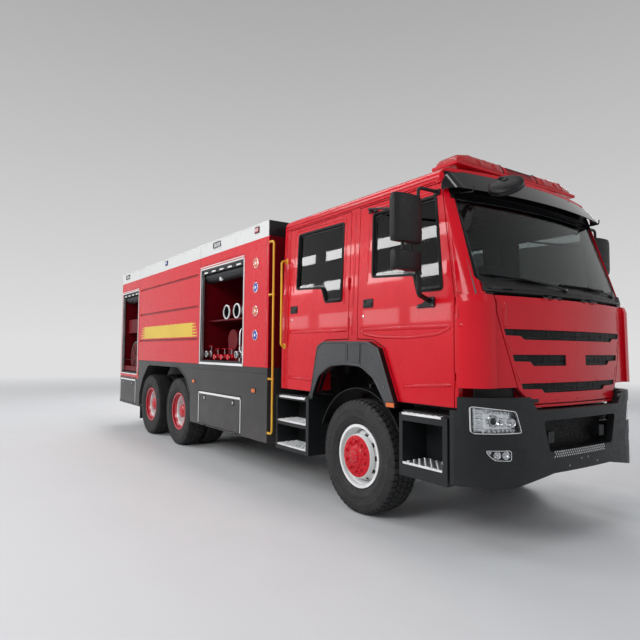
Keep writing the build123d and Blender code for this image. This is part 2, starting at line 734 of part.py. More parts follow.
def roof_deck():
    """Deck plate with a parapet wall all round, store boxes along its edges, tank lids and vents."""
    rim = block(BODY_REAR_X, BODY_FRONT_X, -BODY_HALF_W, BODY_HALF_W, DECK_Z, PARAPET_Z)
    well = block(
        BODY_REAR_X + PANEL_WALL, BODY_FRONT_X - PANEL_WALL, -BODY_HALF_W + PANEL_WALL,
        BODY_HALF_W - PANEL_WALL,
        DECK_Z + DECK_T, PARAPET_Z + 1,
    )
    deck = rim - well
    floor = DECK_Z + DECK_T
    outer = BODY_HALF_W - ROOF_BOX_INSET
    for x0, x1 in ROOF_BOXES:
        box = block(at_axle(x0), at_axle(x1), -outer, -outer + ROOF_BOX_W, floor - 1, floor + ROOF_BOX_H)
        for add in both(box):
            deck = deck + add
    for x in MANHOLE_XS:
        deck = deck + rod((at_axle(x), 0, floor - 1), (at_axle(x), 0, floor + MANHOLE_H), MANHOLE_R)
    for y in (-VENT_Y, VENT_Y):
        pipe = rod((at_axle(VENT_X), y, floor - 1), (at_axle(VENT_X), y, floor + VENT_H), VENT_R * 0.7)
        cap = rod((at_axle(VENT_X), y, floor + VENT_H * 0.7), (at_axle(VENT_X), y, floor + VENT_H), VENT_R)
        deck = deck + pipe + cap
    return deck


def skirts():
    """Lower side boxes with the wheel arches, and recesses for the lower flaps."""
    outline = polygon(placed((
        (-BODY_FRONT, SKIRT_Z), (-BODY_FRONT, BODY_BASE_Z), (-REAR_SEAM, BODY_BASE_Z),
        (-REAR_SEAM, REAR_BASE_Z),
        (-BODY_END, REAR_BASE_Z), (-BODY_END, SKIRT_Z),
    )))
    skirt = along_y(outline, -BODY_HALF_W, -SKIRT_IN_Y)
    arch = polygon([(BOGIE_X + x, z) for x, z in ARCH_BODY])
    skirt = skirt - along_y(arch, -BODY_HALF_W - 1, -SKIRT_IN_Y + 1)
    for x0, x1, z0, z1 in (FRONT_FLAP, REAR_FLAP):
        skirt = skirt - block(
            at_axle(x0) - GAP, at_axle(x1) + GAP, -BODY_HALF_W - 1, -BODY_HALF_W + FLAP_T + GAP, z0 - GAP,
            z1 + GAP,
        )
        skirt = skirt - block(
            at_axle(x0 + 40), at_axle(x1 - 40), -BODY_HALF_W, -SKIRT_IN_Y - 60, z0 + 40, z1 - 30
        )
        for x in flap_hinge_xs(x0, x1):
            skirt = hinge_fixed(skirt, (x, -BODY_HALF_W, z0 - GAP / 2), (1, 0, 0))
    return both(skirt)


def flap_hinge_xs(x0, x1):
    """Where the two hinges of a lower flap start."""
    return at_axle(x0 + 140), at_axle(x1 - 140) - 2 * BARREL_LENGTH


def lower_flap(spec):
    x0, x1, z0, z1 = spec
    flap = block(at_axle(x0), at_axle(x1), -BODY_HALF_W, -BODY_HALF_W + FLAP_T, z0, z1)
    for x in flap_hinge_xs(x0, x1):
        flap = hinge_moving(flap, (x, -BODY_HALF_W, z0 - GAP / 2), (1, 0, 0))
    return flap


MUD_FLAP_T = 10
MUD_FLAP_Z = (216, 500)


def mud_flaps():
    """Rubber flaps hung on the back edges of the rear wheel arches."""
    x = BOGIE_X + ARCH_REAR + SEAT
    return both(block(x, x + MUD_FLAP_T, -BODY_HALF_W + 20, -SKIRT_IN_Y + 150, *MUD_FLAP_Z))


# Bumper and its lamps
BUMPER_HALF_W = CAB_HALF_W + 40
BUMPER_BASE_Z = 510
BUMPER_MID_BASE_Z = 580
# Half widths between which the lower edge rises from its low ends to its higher middle
BUMPER_RISE_YS = (880, 420)
BUMPER_TOP_Z = 1190
BUMPER_MID_TOP_Z = 1085
BUMPER_DEPTH = 230
BUMPER_BACK = 1185
BUMPER_HIGH_BACK = 1250
INTAKE = ((-545, 1000), (545, 1000), (470, 750), (-470, 750))
HEADLAMP = ((-1165, 1140), (-1150, 905), (-650, 925), (-690, 1098))
FOG_LAMP = ((-1075, 800), (-1040, 730), (-975, 692), (-755, 692), (-755, 800))
LAMP_DEPTH = 70


def bumper_plan(by):
    """The bumper seen from above, drawn in from its skin."""
    nose = FRONT_X - by
    half = BUMPER_HALF_W - by
    cheek_x, cheek_y = nose - 45, 790 - by / 2
    side_x = nose - 375
    mid = (nose - 170, 1050 - by * 0.7)
    edges = [
        Line((at_axle(0), -half), (side_x, -half)),
        ThreePointArc((side_x, -half), (mid[0], -mid[1]), (cheek_x, -cheek_y)),
        ThreePointArc((cheek_x, -cheek_y), (nose, 0), (cheek_x, cheek_y)),
        ThreePointArc((cheek_x, cheek_y), mid, (side_x, half)),
        Line((side_x, half), (at_axle(0), half)),
        Line((at_axle(0), half), (at_axle(0), -half)),
    ]
    return make_face([edge for piece in edges for edge in piece.edges()])


def bumper_form(by):
    return along_z(bumper_plan(by), BUMPER_BASE_Z - 10, BUMPER_TOP_Z + 10)


def bumper():
    half = BUMPER_HALF_W + 10
    low_y, mid_y = BUMPER_RISE_YS
    outline = polygon((
        (-half, BUMPER_BASE_Z), (-half, BUMPER_TOP_Z), (-690, BUMPER_TOP_Z), (-615, BUMPER_MID_TOP_Z),
        (615, BUMPER_MID_TOP_Z), (690, BUMPER_TOP_Z), (half, BUMPER_TOP_Z), (half, BUMPER_BASE_Z),
        (low_y, BUMPER_BASE_Z),
        (mid_y, BUMPER_MID_BASE_Z), (-mid_y, BUMPER_MID_BASE_Z), (-low_y, BUMPER_BASE_Z),
    ))
    wall = bumper_form(0) - along_z(bumper_plan(60), 0, 2000)
    shell = wall & along_x(outline, at_axle(BUMPER_BACK), FRONT_X + 10)
    shell = shell - along_x(polygon(INTAKE, 30), AXLE_X, FRONT_X + 10)
    shell = shell - block(
        AXLE_X, at_axle(BUMPER_HIGH_BACK), -half, half, CAB_BASE_Z - 2 * GAP, BUMPER_TOP_Z + 1
    )
    for points in (HEADLAMP, FOG_LAMP):
        for cut in both(along_x(polygon(points, 20), AXLE_X, FRONT_X + 10)):
            shell = shell - cut
    # Step ledge below the intake and the two arms that carry the bumper on the rails
    ledge = along_x(
        polygon(((-440, 700), (-440, 742), (440, 742), (440, 700))), FRONT_X - BUMPER_DEPTH, FRONT_X - 20
    )
    arms = [
        block(at_axle(RAIL_FRONT) + SEAT, FRONT_X - 40, y - 40, y + 40, 810, 900)
        for y in (-RAIL_Y + 40, RAIL_Y - 40)
    ]
    trimmed = [(arm - along_x(polygon(INTAKE, 30), FRONT_X - 60, FRONT_X)) for arm in arms]
    beam = block(FRONT_X - BUMPER_DEPTH - 30, FRONT_X - BUMPER_DEPTH, -960, 960, 700, 900)
    ribs = [block(FRONT_X - BUMPER_DEPTH - 1, FRONT_X - 100, y - 6, y + 6, 700, 900) for y in (-620, 620)]
    return union([shell, ledge, beam, *ribs, *trimmed])


def front_lamps():
    """Head and fog lamps, seated in the bumper's pockets."""
    lamps = []
    for points in (HEADLAMP, FOG_LAMP):
        face = offset(polygon(points, 20), -SEAT)
        lens = along_x(face, at_axle(BUMPER_HIGH_BACK) + GAP, FRONT_X) & (
            bumper_form(4) - along_z(bumper_plan(4 + LAMP_DEPTH), 0, 2000)
        )
        lamps += both(lens)
    return lamps


# Cab steps, arches, visor and light bar
STEP_OUT_Y = CAB_HALF_W + 45
STEP_IN_Y = 860
FRONT_STEPS = (620, 1165, 485, 1035)
REAR_STEPS = (-1478, -790, 410, 1040)


def cab_steps():
    """Step boxes below the doors, with foot pockets, on brackets from the rails."""
    pieces = []
    for (x0, x1, z0, z1), pockets in ((FRONT_STEPS, ((600, 950),)), (REAR_STEPS, ((468, 690), (742, 985)))):
        box = block(at_axle(x0), at_axle(x1), -STEP_OUT_Y, -STEP_IN_Y, z0, z1)
        box = box - block(
            at_axle(x0) - 1, at_axle(x1) + 1, -STEP_OUT_Y - 1, -CAB_HALF_W - SEAT, z1 - 20, z1 + 1
        )
        for low, high in pockets:
            box = box - block(
                at_axle(x0 + 40), at_axle(x1 - 50), -STEP_OUT_Y - 1, -STEP_IN_Y - 40, low, high
            )
        middle = at_axle((x0 + x1) / 2)
        bracket = block(middle - 30, middle + 30, -STEP_IN_Y - 1, -RAIL_Y - SEAT, 850, 910)
        pieces += both(box + bracket)
    return pieces


FLARE_OUT = 55
LINER_R = 640
LINER_T = 8
LINER_IN_Y = 820


def wheel_arches():
    """Flares round the front wheel openings and curved guards above the tyres, on stays from the rails."""
    outer = polygon(placed(ARCH_OUT))
    flare = along_y(outer, -CAB_HALF_W - FLARE_OUT, -CAB_HALF_W - SEAT)
    flare = flare - along_y(polygon(placed(ARCH_IN)), -CAB_HALF_W - FLARE_OUT - 1, -CAB_HALF_W + 1)
    flare = flare - block(at_axle(-800), at_axle(700), -2000, -1000, 900, 1045)
    guard = rod((AXLE_X, -CAB_HALF_W + 2, TYRE_R), (AXLE_X, -LINER_IN_Y, TYRE_R), LINER_R + LINER_T)
    guard = guard - rod((AXLE_X, -CAB_HALF_W, TYRE_R), (AXLE_X, -LINER_IN_Y + 10, TYRE_R), LINER_R)
    guard = guard & block(
        AXLE_X - 700, AXLE_X + 700, -CAB_HALF_W, -LINER_IN_Y, TYRE_R + LINER_R * sin(radians(22)), 1300
    )
    post = block(AXLE_X - 15, AXLE_X + 15, -RAIL_Y + 4, -RAIL_Y + 34, RAIL_Z[1] + SEAT, 1216)
    arm = block(AXLE_X - 15, AXLE_X + 15, -1000, -RAIL_Y + 34, 1184, 1216)
    return [*both(flare), *both(guard + post + arm)]


VISOR_Z = (2875, 3097)
VISOR_OUT = 95
VISOR_LEAN = 0.83
VISOR_T = 12
VISOR_BACK = 1062
# The blind-spot mirror in front of the visor's right end, facing down and across
SPOT_MIRROR = (1405, -750, 2885)
SPOT_MIRROR_FACE = (-0.25, 0.6, -0.76)
SPOT_MIRROR_R = 140
SPOT_MIRROR_T = 30


def visor_form(by):
    """The space below the visor's outer face, drawn in from it."""
    rise = VISOR_Z[1] - VISOR_Z[0]
    front = at_axle(CAB_NOSE) - face_x(0, VISOR_Z[0]) - VISOR_OUT + by
    plan = cab_plan(10 + by, front)
    return Pos(0, 0, VISOR_Z[0]) * extrude(plan, rise * sqrt(1 + VISOR_LEAN**2), dir=(-VISOR_LEAN, 0, 1))


def sun_visor():
    """Visor across the top of the windscreen on its brackets, with a blind-spot mirror."""
    shade = visor_form(0) - visor_form(VISOR_T)
    shade = (shade & block(at_axle(VISOR_BACK), FRONT_X, -1200, 1200, 0, 4000)) - cab_form(-SEAT)
    space = visor_form(VISOR_T - 1) - cab_form(-SEAT)
    brackets = [
        space & block(at_axle(1000), FRONT_X, y - 4, y + 4, VISOR_Z[0] + 20, VISOR_Z[1] - 30)
        for y in (-700, 0, 700)
    ]
    x, y, z = SPOT_MIRROR
    centre = Vector(at_axle(x), y, z)
    face = Vector(*SPOT_MIRROR_FACE).normalized() * SPOT_MIRROR_T / 2
    arm = rod((at_axle(1236), y, VISOR_Z[0] + 12), centre, 9)
    disc = rod(centre - face, centre + face, SPOT_MIRROR_R)
    return union([shade, *brackets, arm, disc])


LIGHT_BAR = (730, 1035, 910, 3150, 3310)


def light_bar():
    """Beacon bar across the roof on two feet."""
    x0, x1, half, z0, z1 = LIGHT_BAR
    outline = polygon(
        placed(((x0, z0), (x0, z1 - 20), (x0 + 40, z1), (x1 - 40, z1), (x1, z1 - 20), (x1, z0)))
    )
    bar = along_y(outline, -half, half)
    roof = cab_form(-SEAT)
    feet = [
        block(at_axle(x0 + 60), at_axle(x1 - 60), y - 40, y + 40, ROOF_Z - 10, z0 + 1) - roof
        for y in (-620, 620)
    ]
    return union([bar, *feet])


# Inside the cab
def seats():
    """Two front seats and a rear bench."""
    pieces = []
    floor = FLOOR_Z + SEAT
    for y in (-600, 600):
        base = block(at_axle(330), at_axle(760), y - 200, y + 200, floor, 1700)
        cushion = block(at_axle(290), at_axle(810), y - 250, y + 250, 1700, 1840)
        back = along_y(
            polygon(placed(((290, 1800), (190, 2480), (310, 2480), (420, 1800)))), y - 240, y + 240
        )
        pieces.append(union([base, cushion, back]))
    base = block(at_axle(-1340), at_axle(-900), -880, 880, floor, 1700)
    cushion = block(at_axle(-1370), at_axle(-860), -900, 900, 1700, 1840)
    back = block(at_axle(-1370), at_axle(-1240), -900, 900, 1839, 2480)
    pieces.append(union([base, cushion, back]))
    return pieces


DASH = ((1060, 1900), (1090, 2080), (1240, 2130), (1540, 2040), (1540, 1760), (1180, 1700))
STEER_POST = ((885, 600, 2050), (1200, 600, 1551))
COWL_R = 90
COWL_START = 0.36


def post_point(share):
    """A point down the steering column."""
    a, b = STEER_POST
    return at_axle(a[0] + (b[0] - a[0]) * share), a[1], a[2] + (b[2] - a[2]) * share


def dashboard_form(grow):
    """The dashboard with the cowl round the steering column."""
    body = along_y(offset(polygon(placed(DASH)), grow, kind=Kind.INTERSECTION), -1060, 1060)
    return body + rod(post_point(COWL_START - grow / 500), post_point(1), COWL_R + grow)


def dashboard():
    """Dashboard across the cab below the windscreen."""
    return dashboard_form(0) & cab_form(WALL + 3, low_front=PANEL_T + PANEL_GAP + WALL + 3)


def steering_wheel():
    """Steering wheel on its column, on the left."""
    tilt = Pos(at_axle(880), 600, 2060) * Rot(0, -32, 0)
    ring = tilt * Torus(225, 15)
    spokes = tilt * Box(20, 440, 14) + tilt * Box(440, 20, 14)
    hub = tilt * Cylinder(60, 40)
    column = rod(post_point(0), post_point(0.5), 28)
    return union([ring, spokes, hub, column]) - dashboard_form(SEAT)


# Mirrors on the front doors
MIRROR_Y = (CAB_HALF_W + 150, CAB_HALF_W + 470)
MIRROR_X = (955, 1045)
UPPER_MIRROR_Z = (2405, 2790)
LOWER_MIRROR_Z = (2180, 2340)
MIRROR_LINK_R = 14
MIRROR_ARM_R = 20
MIRROR_ARM_BEND = 45
MIRROR_FEET_Z = (1962, 2868)


def mirror_pair():
    """Two mirror heads joined by short tubes, held by an upper and a lower arm on the door."""
    x0, x1 = (at_axle(x) for x in MIRROR_X)
    y0, y1 = MIRROR_Y
    mid_x, mid_y = (x0 + x1) / 2, (y0 + y1) / 2
    heads = []
    for z0, z1 in (UPPER_MIRROR_Z, LOWER_MIRROR_Z):
        face = polygon(((-y1, z0), (-y1, z1), (-y0, z1), (-y0, z0)), 30)
        heads.append(along_x(face, x0, x1))
    links = [
        rod((mid_x, -y, LOWER_MIRROR_Z[1] - 5), (mid_x, -y, UPPER_MIRROR_Z[0] + 5), MIRROR_LINK_R)
        for y in (mid_y - 50, mid_y + 50)
    ]
    z_low, z_high = MIRROR_FEET_Z
    arm_y = y0 + 2 * MIRROR_ARM_R
    low = bent_tube((
        (at_axle(945), -side_y(z_low) - MIRROR_ARM_R / 2, z_low), (mid_x, -arm_y, z_low + 35),
        (mid_x, -arm_y, LOWER_MIRROR_Z[0] + 5),
    ), MIRROR_ARM_BEND, MIRROR_ARM_R)
    high = bent_tube((
        (at_axle(1010), -side_y(z_high) - MIRROR_LINK_R / 2, z_high), (mid_x, -arm_y, z_high),
        (mid_x, -arm_y, UPPER_MIRROR_Z[1] - 5),
    ), MIRROR_ARM_BEND, MIRROR_LINK_R)
    pads = [
        block(
            at_axle(890), at_axle(1000), -CAB_HALF_W - 14, -side_y(z_low + 24) - SEAT, z_low - 24,
            z_low + 24,
        ),
        block(
            at_axle(985), at_axle(1035), -side_y(z_high) - 14, -side_y(z_high - 24) - SEAT, z_high - 24,
            z_high + 24,
        ),
    ]
    return union([*heads, *links, low, high, *pads]) - cab_form(-SEAT)


# Locker fronts and what is in them
FRAME_W = 36
FRAME_T = 40
COIL_R = 95


def roller_shutters():
    """Frames round the side openings, with each rolled-up shutter's coil and bottom bar."""
    pieces = []
    for x0, x1, z0, z1 in (FRONT_OPENING, REAR_OPENING):
        a, b, low, high = at_axle(x0) + SEAT, at_axle(x1) - SEAT, z0 + SEAT, z1 - SEAT
        skin, back = -BODY_HALF_W, -BODY_HALF_W + FRAME_T
        frame = block(a, b, skin, back, low, high) - block(
            a + FRAME_W, b - FRAME_W, skin - 1, back + 1, low + FRAME_W, high - FRAME_W
        )
        bar = block(
            a + FRAME_W - 1, b - FRAME_W + 1, skin + 8, skin + 26, high - FRAME_W - 44, high - FRAME_W + 1
        )
        coil_y, coil_z = back + COIL_R + 10, high - COIL_R - 4
        coil = rod((a, coil_y, coil_z), (b, coil_y, coil_z), COIL_R)
        hanger = [block(x, x + 12, back - 1, coil_y, coil_z - 20, coil_z + 20) for x in (a, b - 12)]
        pieces += both(union([frame, bar, coil, *hanger]))
    return pieces


VALVE_XS = (-3480, -2500)
OUTLET_Y = 1150
OUTLET_Z = 1480
OUTLET_R = 33
OUTLET_LENGTH = 60
TUBE_XS = (-3010, -2690, -2420)
STORE_R = 100
SHELF_Z = 1960


def locker_fittings():
    """Shelves, stored tubes and the pump's valve block in the front lockers, and shelves in the rear ones."""
    pieces = []
    x0, x1, z0, _ = FRONT_OPENING
    a, b = at_axle(x0) + SEAT, at_axle(x1) - SEAT
    front_y, back_y = -BODY_HALF_W + 120, -BODY_HALF_W + LOCKER_DEPTH - SEAT
    shelf = block(a, b, front_y, back_y, SHELF_Z, SHELF_Z + 20)
    for x in TUBE_XS:
        centre = at_axle(x)
        tube = rod(
            (centre, front_y + 10, SHELF_Z + 20 + STORE_R - 2),
            (centre, back_y - 60, SHELF_Z + 20 + STORE_R - 2), STORE_R,
        )
        bore = rod(
            (centre, front_y, SHELF_Z + 20 + STORE_R - 2),
            (centre, back_y - 80, SHELF_Z + 20 + STORE_R - 2), STORE_R - 12,
        )
        shelf = (shelf + tube) - bore
    floor = z0 + SEAT
    pump = block(at_axle(-3250), at_axle(-2750), front_y + 150, back_y - 100, floor, floor + 260)
    volute = rod(
        (at_axle(-3000), front_y + 100, floor + 330), (at_axle(-3000), back_y - 150, floor + 330), 150
    )
    valves = []
    for x in VALVE_XS:
        stem = rod((at_axle(x), -OUTLET_Y + 110, floor), (at_axle(x), -OUTLET_Y + 110, floor + 190), 45)
        outlet = rod((at_axle(x), -OUTLET_Y, OUTLET_Z), (at_axle(x), -OUTLET_Y + 110, OUTLET_Z), 50)
        bore = rod(
            (at_axle(x), -OUTLET_Y - 1, OUTLET_Z), (at_axle(x), -OUTLET_Y + OUTLET_LENGTH, OUTLET_Z),
            OUTLET_R,
        )
        valves.append((stem + outlet) - bore)
    pieces += both(shelf)
    pieces += both(pump + volute)
    for valve in valves:
        pieces += both(valve)
    x0, x1, z0, z1 = REAR_OPENING
    a, b = at_axle(x0) + SEAT, at_axle(x1) - SEAT
    shelf = block(a, b, -BODY_HALF_W + 100, -SKIRT_IN_Y + 50 - SEAT, 1880, 1900)
    pieces += both(shelf)
    crate = block(a + 60, b - 300, -BODY_HALF_W + 110, -SKIRT_IN_Y + 30, 1900 + SEAT, 2160)
    reel = rod((a + 560, -BODY_HALF_W + 120, z0 + 330), (a + 560, -SKIRT_IN_Y + 30, z0 + 330), 300)
    foot = block(a + 300, a + 820, -BODY_HALF_W + 130, -SKIRT_IN_Y + 20, z0 + SEAT, z0 + 90)
    pieces += both(crate)
    pieces += both(reel + foot)
    return pieces


# Body fittings
LADDER_YS = (-BODY_HALF_W + 120, -BODY_HALF_W + 460)
LADDER_Z = (900, 3200)
LADDER_TUBE_R = 16
RUNG_PITCH = 290


def rear_ladder():
    """Ladder up the right of the tail, on stand-offs."""
    x = BODY_REAR_X - REAR_FITTING_REACH + LADDER_TUBE_R
    low, high = LADDER_Z
    rails = [rod((x, y, low), (x, y, high), LADDER_TUBE_R) for y in LADDER_YS]
    rungs = []
    z = low + 60
    while z < high - 60:
        rungs.append(rod((x, LADDER_YS[0], z), (x, LADDER_YS[1], z), 13))
        z += RUNG_PITCH
    feet = [
        rod((x, y, z), (BODY_REAR_X - SEAT, y, z), 13) for y in LADDER_YS for z in (REAR_BASE_Z + 60, 2880)
    ]
    return union([*rails, *rungs, *feet])


SIDE_LAMP_ZS = (2629, 2324, 2029, 1727)
SIDE_LAMP_X = -1910
SIDE_LAMP_R = 67
BAND_LAMPS = ((-1903, 100, 60), (-3093, 170, 75), (-BOGIE_AT + 86, 100, 60), (-BODY_END + 401, 170, 75))
BAND_LAMP_Z = 3045


def body_lamps():
    """Round side lamps, lamps along the white band and the tail lamp clusters."""
    pieces = []
    skin = -BODY_HALF_W - SEAT
    for z in SIDE_LAMP_ZS:
        pieces += both(
            rod((at_axle(SIDE_LAMP_X), skin - 14, z), (at_axle(SIDE_LAMP_X), skin, z), SIDE_LAMP_R)
        )
    for x, width, height in BAND_LAMPS:
        pieces += both(block(
            at_axle(x) - width / 2, at_axle(x) + width / 2, skin - 40, skin, BAND_LAMP_Z - height / 2,
            BAND_LAMP_Z + height / 2,
        ))
    tail = BODY_REAR_X - SEAT
    for z0, z1 in ((1010, 1190), (2760, 2860)):
        pieces += both(block(tail - 30, tail, -BODY_HALF_W + 10, -BODY_HALF_W + 90, z0, z1))
    return pieces


RAIL_TUBE_R = 13
RAIL_BEND = 45
RAIL_FOOT_R = 11
BODY_RAIL_X = -1500
BODY_RAIL_Z = (560, 2850)
BODY_RAIL_FEET_Z = (1200, 2207)
GRAB_Z = (1590, 2590)
GRAB_X = -1375
GRAB_OUT = 50


def handrails():
    """Grab rails bent at both ends, in the gap behind the cab and on the cab's rear corners."""
    pieces = []
    x, y, back = at_axle(BODY_RAIL_X), -BODY_HALF_W + RAIL_TUBE_R, BODY_FRONT_X + SEAT
    low, high = BODY_RAIL_Z
    rail = bent_tube(((back, y, low), (x, y, low), (x, y, high), (back, y, high)), RAIL_BEND, RAIL_TUBE_R)
    feet = [rod((x, y, z), (back, y, z), RAIL_FOOT_R) for z in BODY_RAIL_FEET_Z]
    pieces += both(union([rail, *feet]))
    x, y = at_axle(GRAB_X), -CAB_HALF_W - GRAB_OUT
    low, high = GRAB_Z
    ends = [-side_y(z - RAIL_TUBE_R) - SEAT for z in GRAB_Z]
    grab = bent_tube(
        ((x, ends[0], low), (x, y, low), (x, y, high), (x, ends[1], high)), GRAB_OUT * 0.7, RAIL_TUBE_R
    )
    pieces += both(grab)
    return pieces


# Roof monitor
MONITOR_X = -2500
MONITOR_Z = (3200, 3370)
BARREL_L = 850
BARREL_BORE_R = 34
BARREL_BORE_START = 200


def monitor_base():
    x = at_axle(MONITOR_X)
    return rod((x, 0, DECK_Z + 10), (x, 0, MONITOR_Z[0] - 60), 70) + rod(
        (x, 0, MONITOR_Z[0] - 61), (x, 0, MONITOR_Z[0] - SEAT), 95
    )


def monitor_turret():
    x = at_axle(MONITOR_X)
    z0, z1 = MONITOR_Z
    ring = rod((x, 0, z0), (x, 0, z0 + 50), 95)
    cheeks = [
        block(x - 60, x + 60, min(y, y + s * 20), max(y, y + s * 20), z0 + 40, z1 + 60)
        for y, s in ((-80, -1), (80, 1))
    ]
    pin = rod((x, -100, z1), (x, 100, z1), 18)
    return union([ring, *cheeks, pin])


def monitor_barrel():
    x = at_axle(MONITOR_X)
    z = MONITOR_Z[1]
    body = rod((x, -79.5, z), (x, 79.5, z), 55)
    pipe = rod((x + 30, 0, z), (x + BARREL_L, 0, z), 45)
    nozzle = rod((x + BARREL_L - 130, 0, z), (x + BARREL_L, 0, z), 62)
    bore = rod((x + BARREL_BORE_START, 0, z), (x + BARREL_L + 1, 0, z), BARREL_BORE_R)
    eye = rod((x, -101, z), (x, 101, z), 18 + FIT)
    return union([body, pipe, nozzle]) - bore - eye


# Pieces
def save_pair(name, right_shape):
    """Writes a right-hand piece and its left-hand twin."""
    save(name + "_right", right_shape)
    save(name + "_left", left(right_shape))


def save_wheels():
    """Front wheels, and the driven pairs, each with tyres of its own."""
    single, twin = front_wheel(), rear_wheels()
    save("wheel_front_left", Pos(AXLE_X, FRONT_TRACK_Y, TYRE_R) * single)
    save("wheel_front_right", left(Pos(AXLE_X, FRONT_TRACK_Y, TYRE_R) * single))
    save_pair("tyre_front", Pos(AXLE_X, -FRONT_TRACK_Y, TYRE_R) * tyre(0))
    middle = sum(DUAL_YS) / 2
    for row, x in zip(("mid", "rear"), DRIVE_XS):
        pair = Pos(x, middle, TYRE_R) * twin
        save(f"wheels_{row}_left", pair)
        save(f"wheels_{row}_right", left(pair))
        tyres = [Pos(x, y, TYRE_R) * tyre(0) for y in DUAL_YS]
        save(f"tyres_{row}_left", *tyres)
        save(f"tyres_{row}_right", *[left(one) for one in tyres])


if __name__ == "__main__":
    save("frame_rails", frame_rails())
    save("subframe", subframe())
    save("engine", engine())
    save("front_axle", front_axle())
    save("drive_axles", drive_axles())
    save("knuckle_left", knuckle())
    save("knuckle_right", left(knuckle()))
    save_wheels()
    save("cab_shell", cab_shell())
    save("windscreen", windscreen())
    save_pair("door_front", door(FRONT_DOOR, FRONT_WINDOW, FRONT_HINGE_X, FRONT_BARREL_ZS))
    save_pair("door_rear", door(REAR_DOOR, REAR_WINDOW, REAR_HINGE_X, REAR_BARREL_ZS))
    save_pair("glass_front", glass(FRONT_WINDOW))
    save_pair("glass_rear", glass(REAR_WINDOW))
    save_pair("mirror", mirror_pair())
    save("front_panel", front_panel())
    save("grille", *grille())
    save("bumper", bumper())
    save("front_lamps", *front_lamps())
    save("cab_steps", *cab_steps())
    save("wheel_arches", *wheel_arches())
    save("sun_visor", sun_visor())
    save("light_bar", light_bar())
    save("seats", *seats())
    save("dashboard", dashboard())
    save("steering_wheel", steering_wheel())
    save("front_locker", front_locker())
    save("tank_section", tank_section())
    save("rear_locker", rear_locker())
    save("roof_deck", roof_deck() + monitor_base())
    save("skirts", *skirts())
    save("mud_flaps", *mud_flaps())
    save_pair("flap_front", lower_flap(FRONT_FLAP))
    save_pair("flap_rear", lower_flap(REAR_FLAP))
    save("rear_hatch", rear_hatch())
    save("roller_shutters", *roller_shutters())
    save("locker_fittings", *locker_fittings())
    save("rear_ladder", rear_ladder())
    save("body_lamps", *body_lamps())
    save("handrails", *handrails())
    save("monitor_turret", monitor_turret())
    save("monitor_barrel", monitor_barrel())
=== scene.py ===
import json
from math import cos, pi, radians, sin, sqrt

import bmesh
import bpy
from mathutils import Matrix, Vector
from mathutils.bvhtree import BVHTree

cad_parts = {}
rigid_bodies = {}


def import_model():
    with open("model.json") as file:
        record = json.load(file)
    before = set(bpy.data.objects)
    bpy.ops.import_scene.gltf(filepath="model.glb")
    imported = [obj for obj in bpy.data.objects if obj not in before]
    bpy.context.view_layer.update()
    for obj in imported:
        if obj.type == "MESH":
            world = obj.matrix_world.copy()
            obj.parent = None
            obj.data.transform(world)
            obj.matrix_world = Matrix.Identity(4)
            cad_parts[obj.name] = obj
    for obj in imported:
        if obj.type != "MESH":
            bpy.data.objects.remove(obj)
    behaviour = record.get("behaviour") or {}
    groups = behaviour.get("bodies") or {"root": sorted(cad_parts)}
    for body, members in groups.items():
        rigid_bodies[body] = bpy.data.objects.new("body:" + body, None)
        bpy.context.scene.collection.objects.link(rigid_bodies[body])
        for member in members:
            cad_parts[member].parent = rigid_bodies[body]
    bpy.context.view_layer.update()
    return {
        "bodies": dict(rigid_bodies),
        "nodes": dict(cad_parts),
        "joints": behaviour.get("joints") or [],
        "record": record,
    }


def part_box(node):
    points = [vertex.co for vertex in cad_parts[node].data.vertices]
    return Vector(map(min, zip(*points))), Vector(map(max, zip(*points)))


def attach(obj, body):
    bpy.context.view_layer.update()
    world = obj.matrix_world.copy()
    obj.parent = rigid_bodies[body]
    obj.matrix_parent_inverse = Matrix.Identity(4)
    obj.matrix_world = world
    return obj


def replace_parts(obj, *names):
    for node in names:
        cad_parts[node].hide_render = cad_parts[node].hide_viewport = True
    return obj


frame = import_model()
NODES = frame["nodes"]
JOINTS = {joint["name"]: joint for joint in frame["joints"]}

# Sizes are metres. X values in tables are ahead of the front axle,
# as place() turns them into the truck's own X.
AXLE_X, _, AXLE_Z = JOINTS["steer_left"]["pos_m"]
CAB_HALF, ROOF_HALF = 1.150, 1.110
WAIST_Z, SHOULDER_Z = 1.930, 2.990
NOSE = 1.530
NOSE_CURVE, PANEL_LEAN, SCREEN_LEAN = 0.1, 0.02, 0.344
BODY_HALF = 1.250
SIDES = (("right", False), ("left", True))
AHEAD, AFT, LEFT, RIGHT, UP, DOWN = (1, 0, 0), (-1, 0, 0), (0, 1, 0), (0, -1, 0), (0, 0, 1), (0, 0, -1)
# How far a drawn piece sinks into the skin under it
SEAT = 0.0005


def place(x):
    return AXLE_X + x


def side_y(z):
    """Half the cab's width at a height."""
    return CAB_HALF - (CAB_HALF - ROOF_HALF) * max(0.0, z - WAIST_Z) / (SHOULDER_Z - WAIST_Z)


def face_x(y, z):
    """X of the cab's front skin."""
    lean = SCREEN_LEAN if z > WAIST_Z else PANEL_LEAN
    return place(NOSE) - NOSE_CURVE * y**2 - lean * (z - WAIST_Z)


# Places: each turns a flat point and a height above the skin into a point on the truck's right or front
def on_cab(x, z, out):
    return (place(x), -side_y(z) - out, z)


def on_body(x, z, out):
    return (place(x), -BODY_HALF - out, z)


def on_face(y, z, out):
    return (face_x(y, z) + out, y, z)


def both_sides(draw):
    """Runs a function for the right side, and for the left with its pieces flipped."""
    return [draw(side, flip) for side, flip in SIDES]


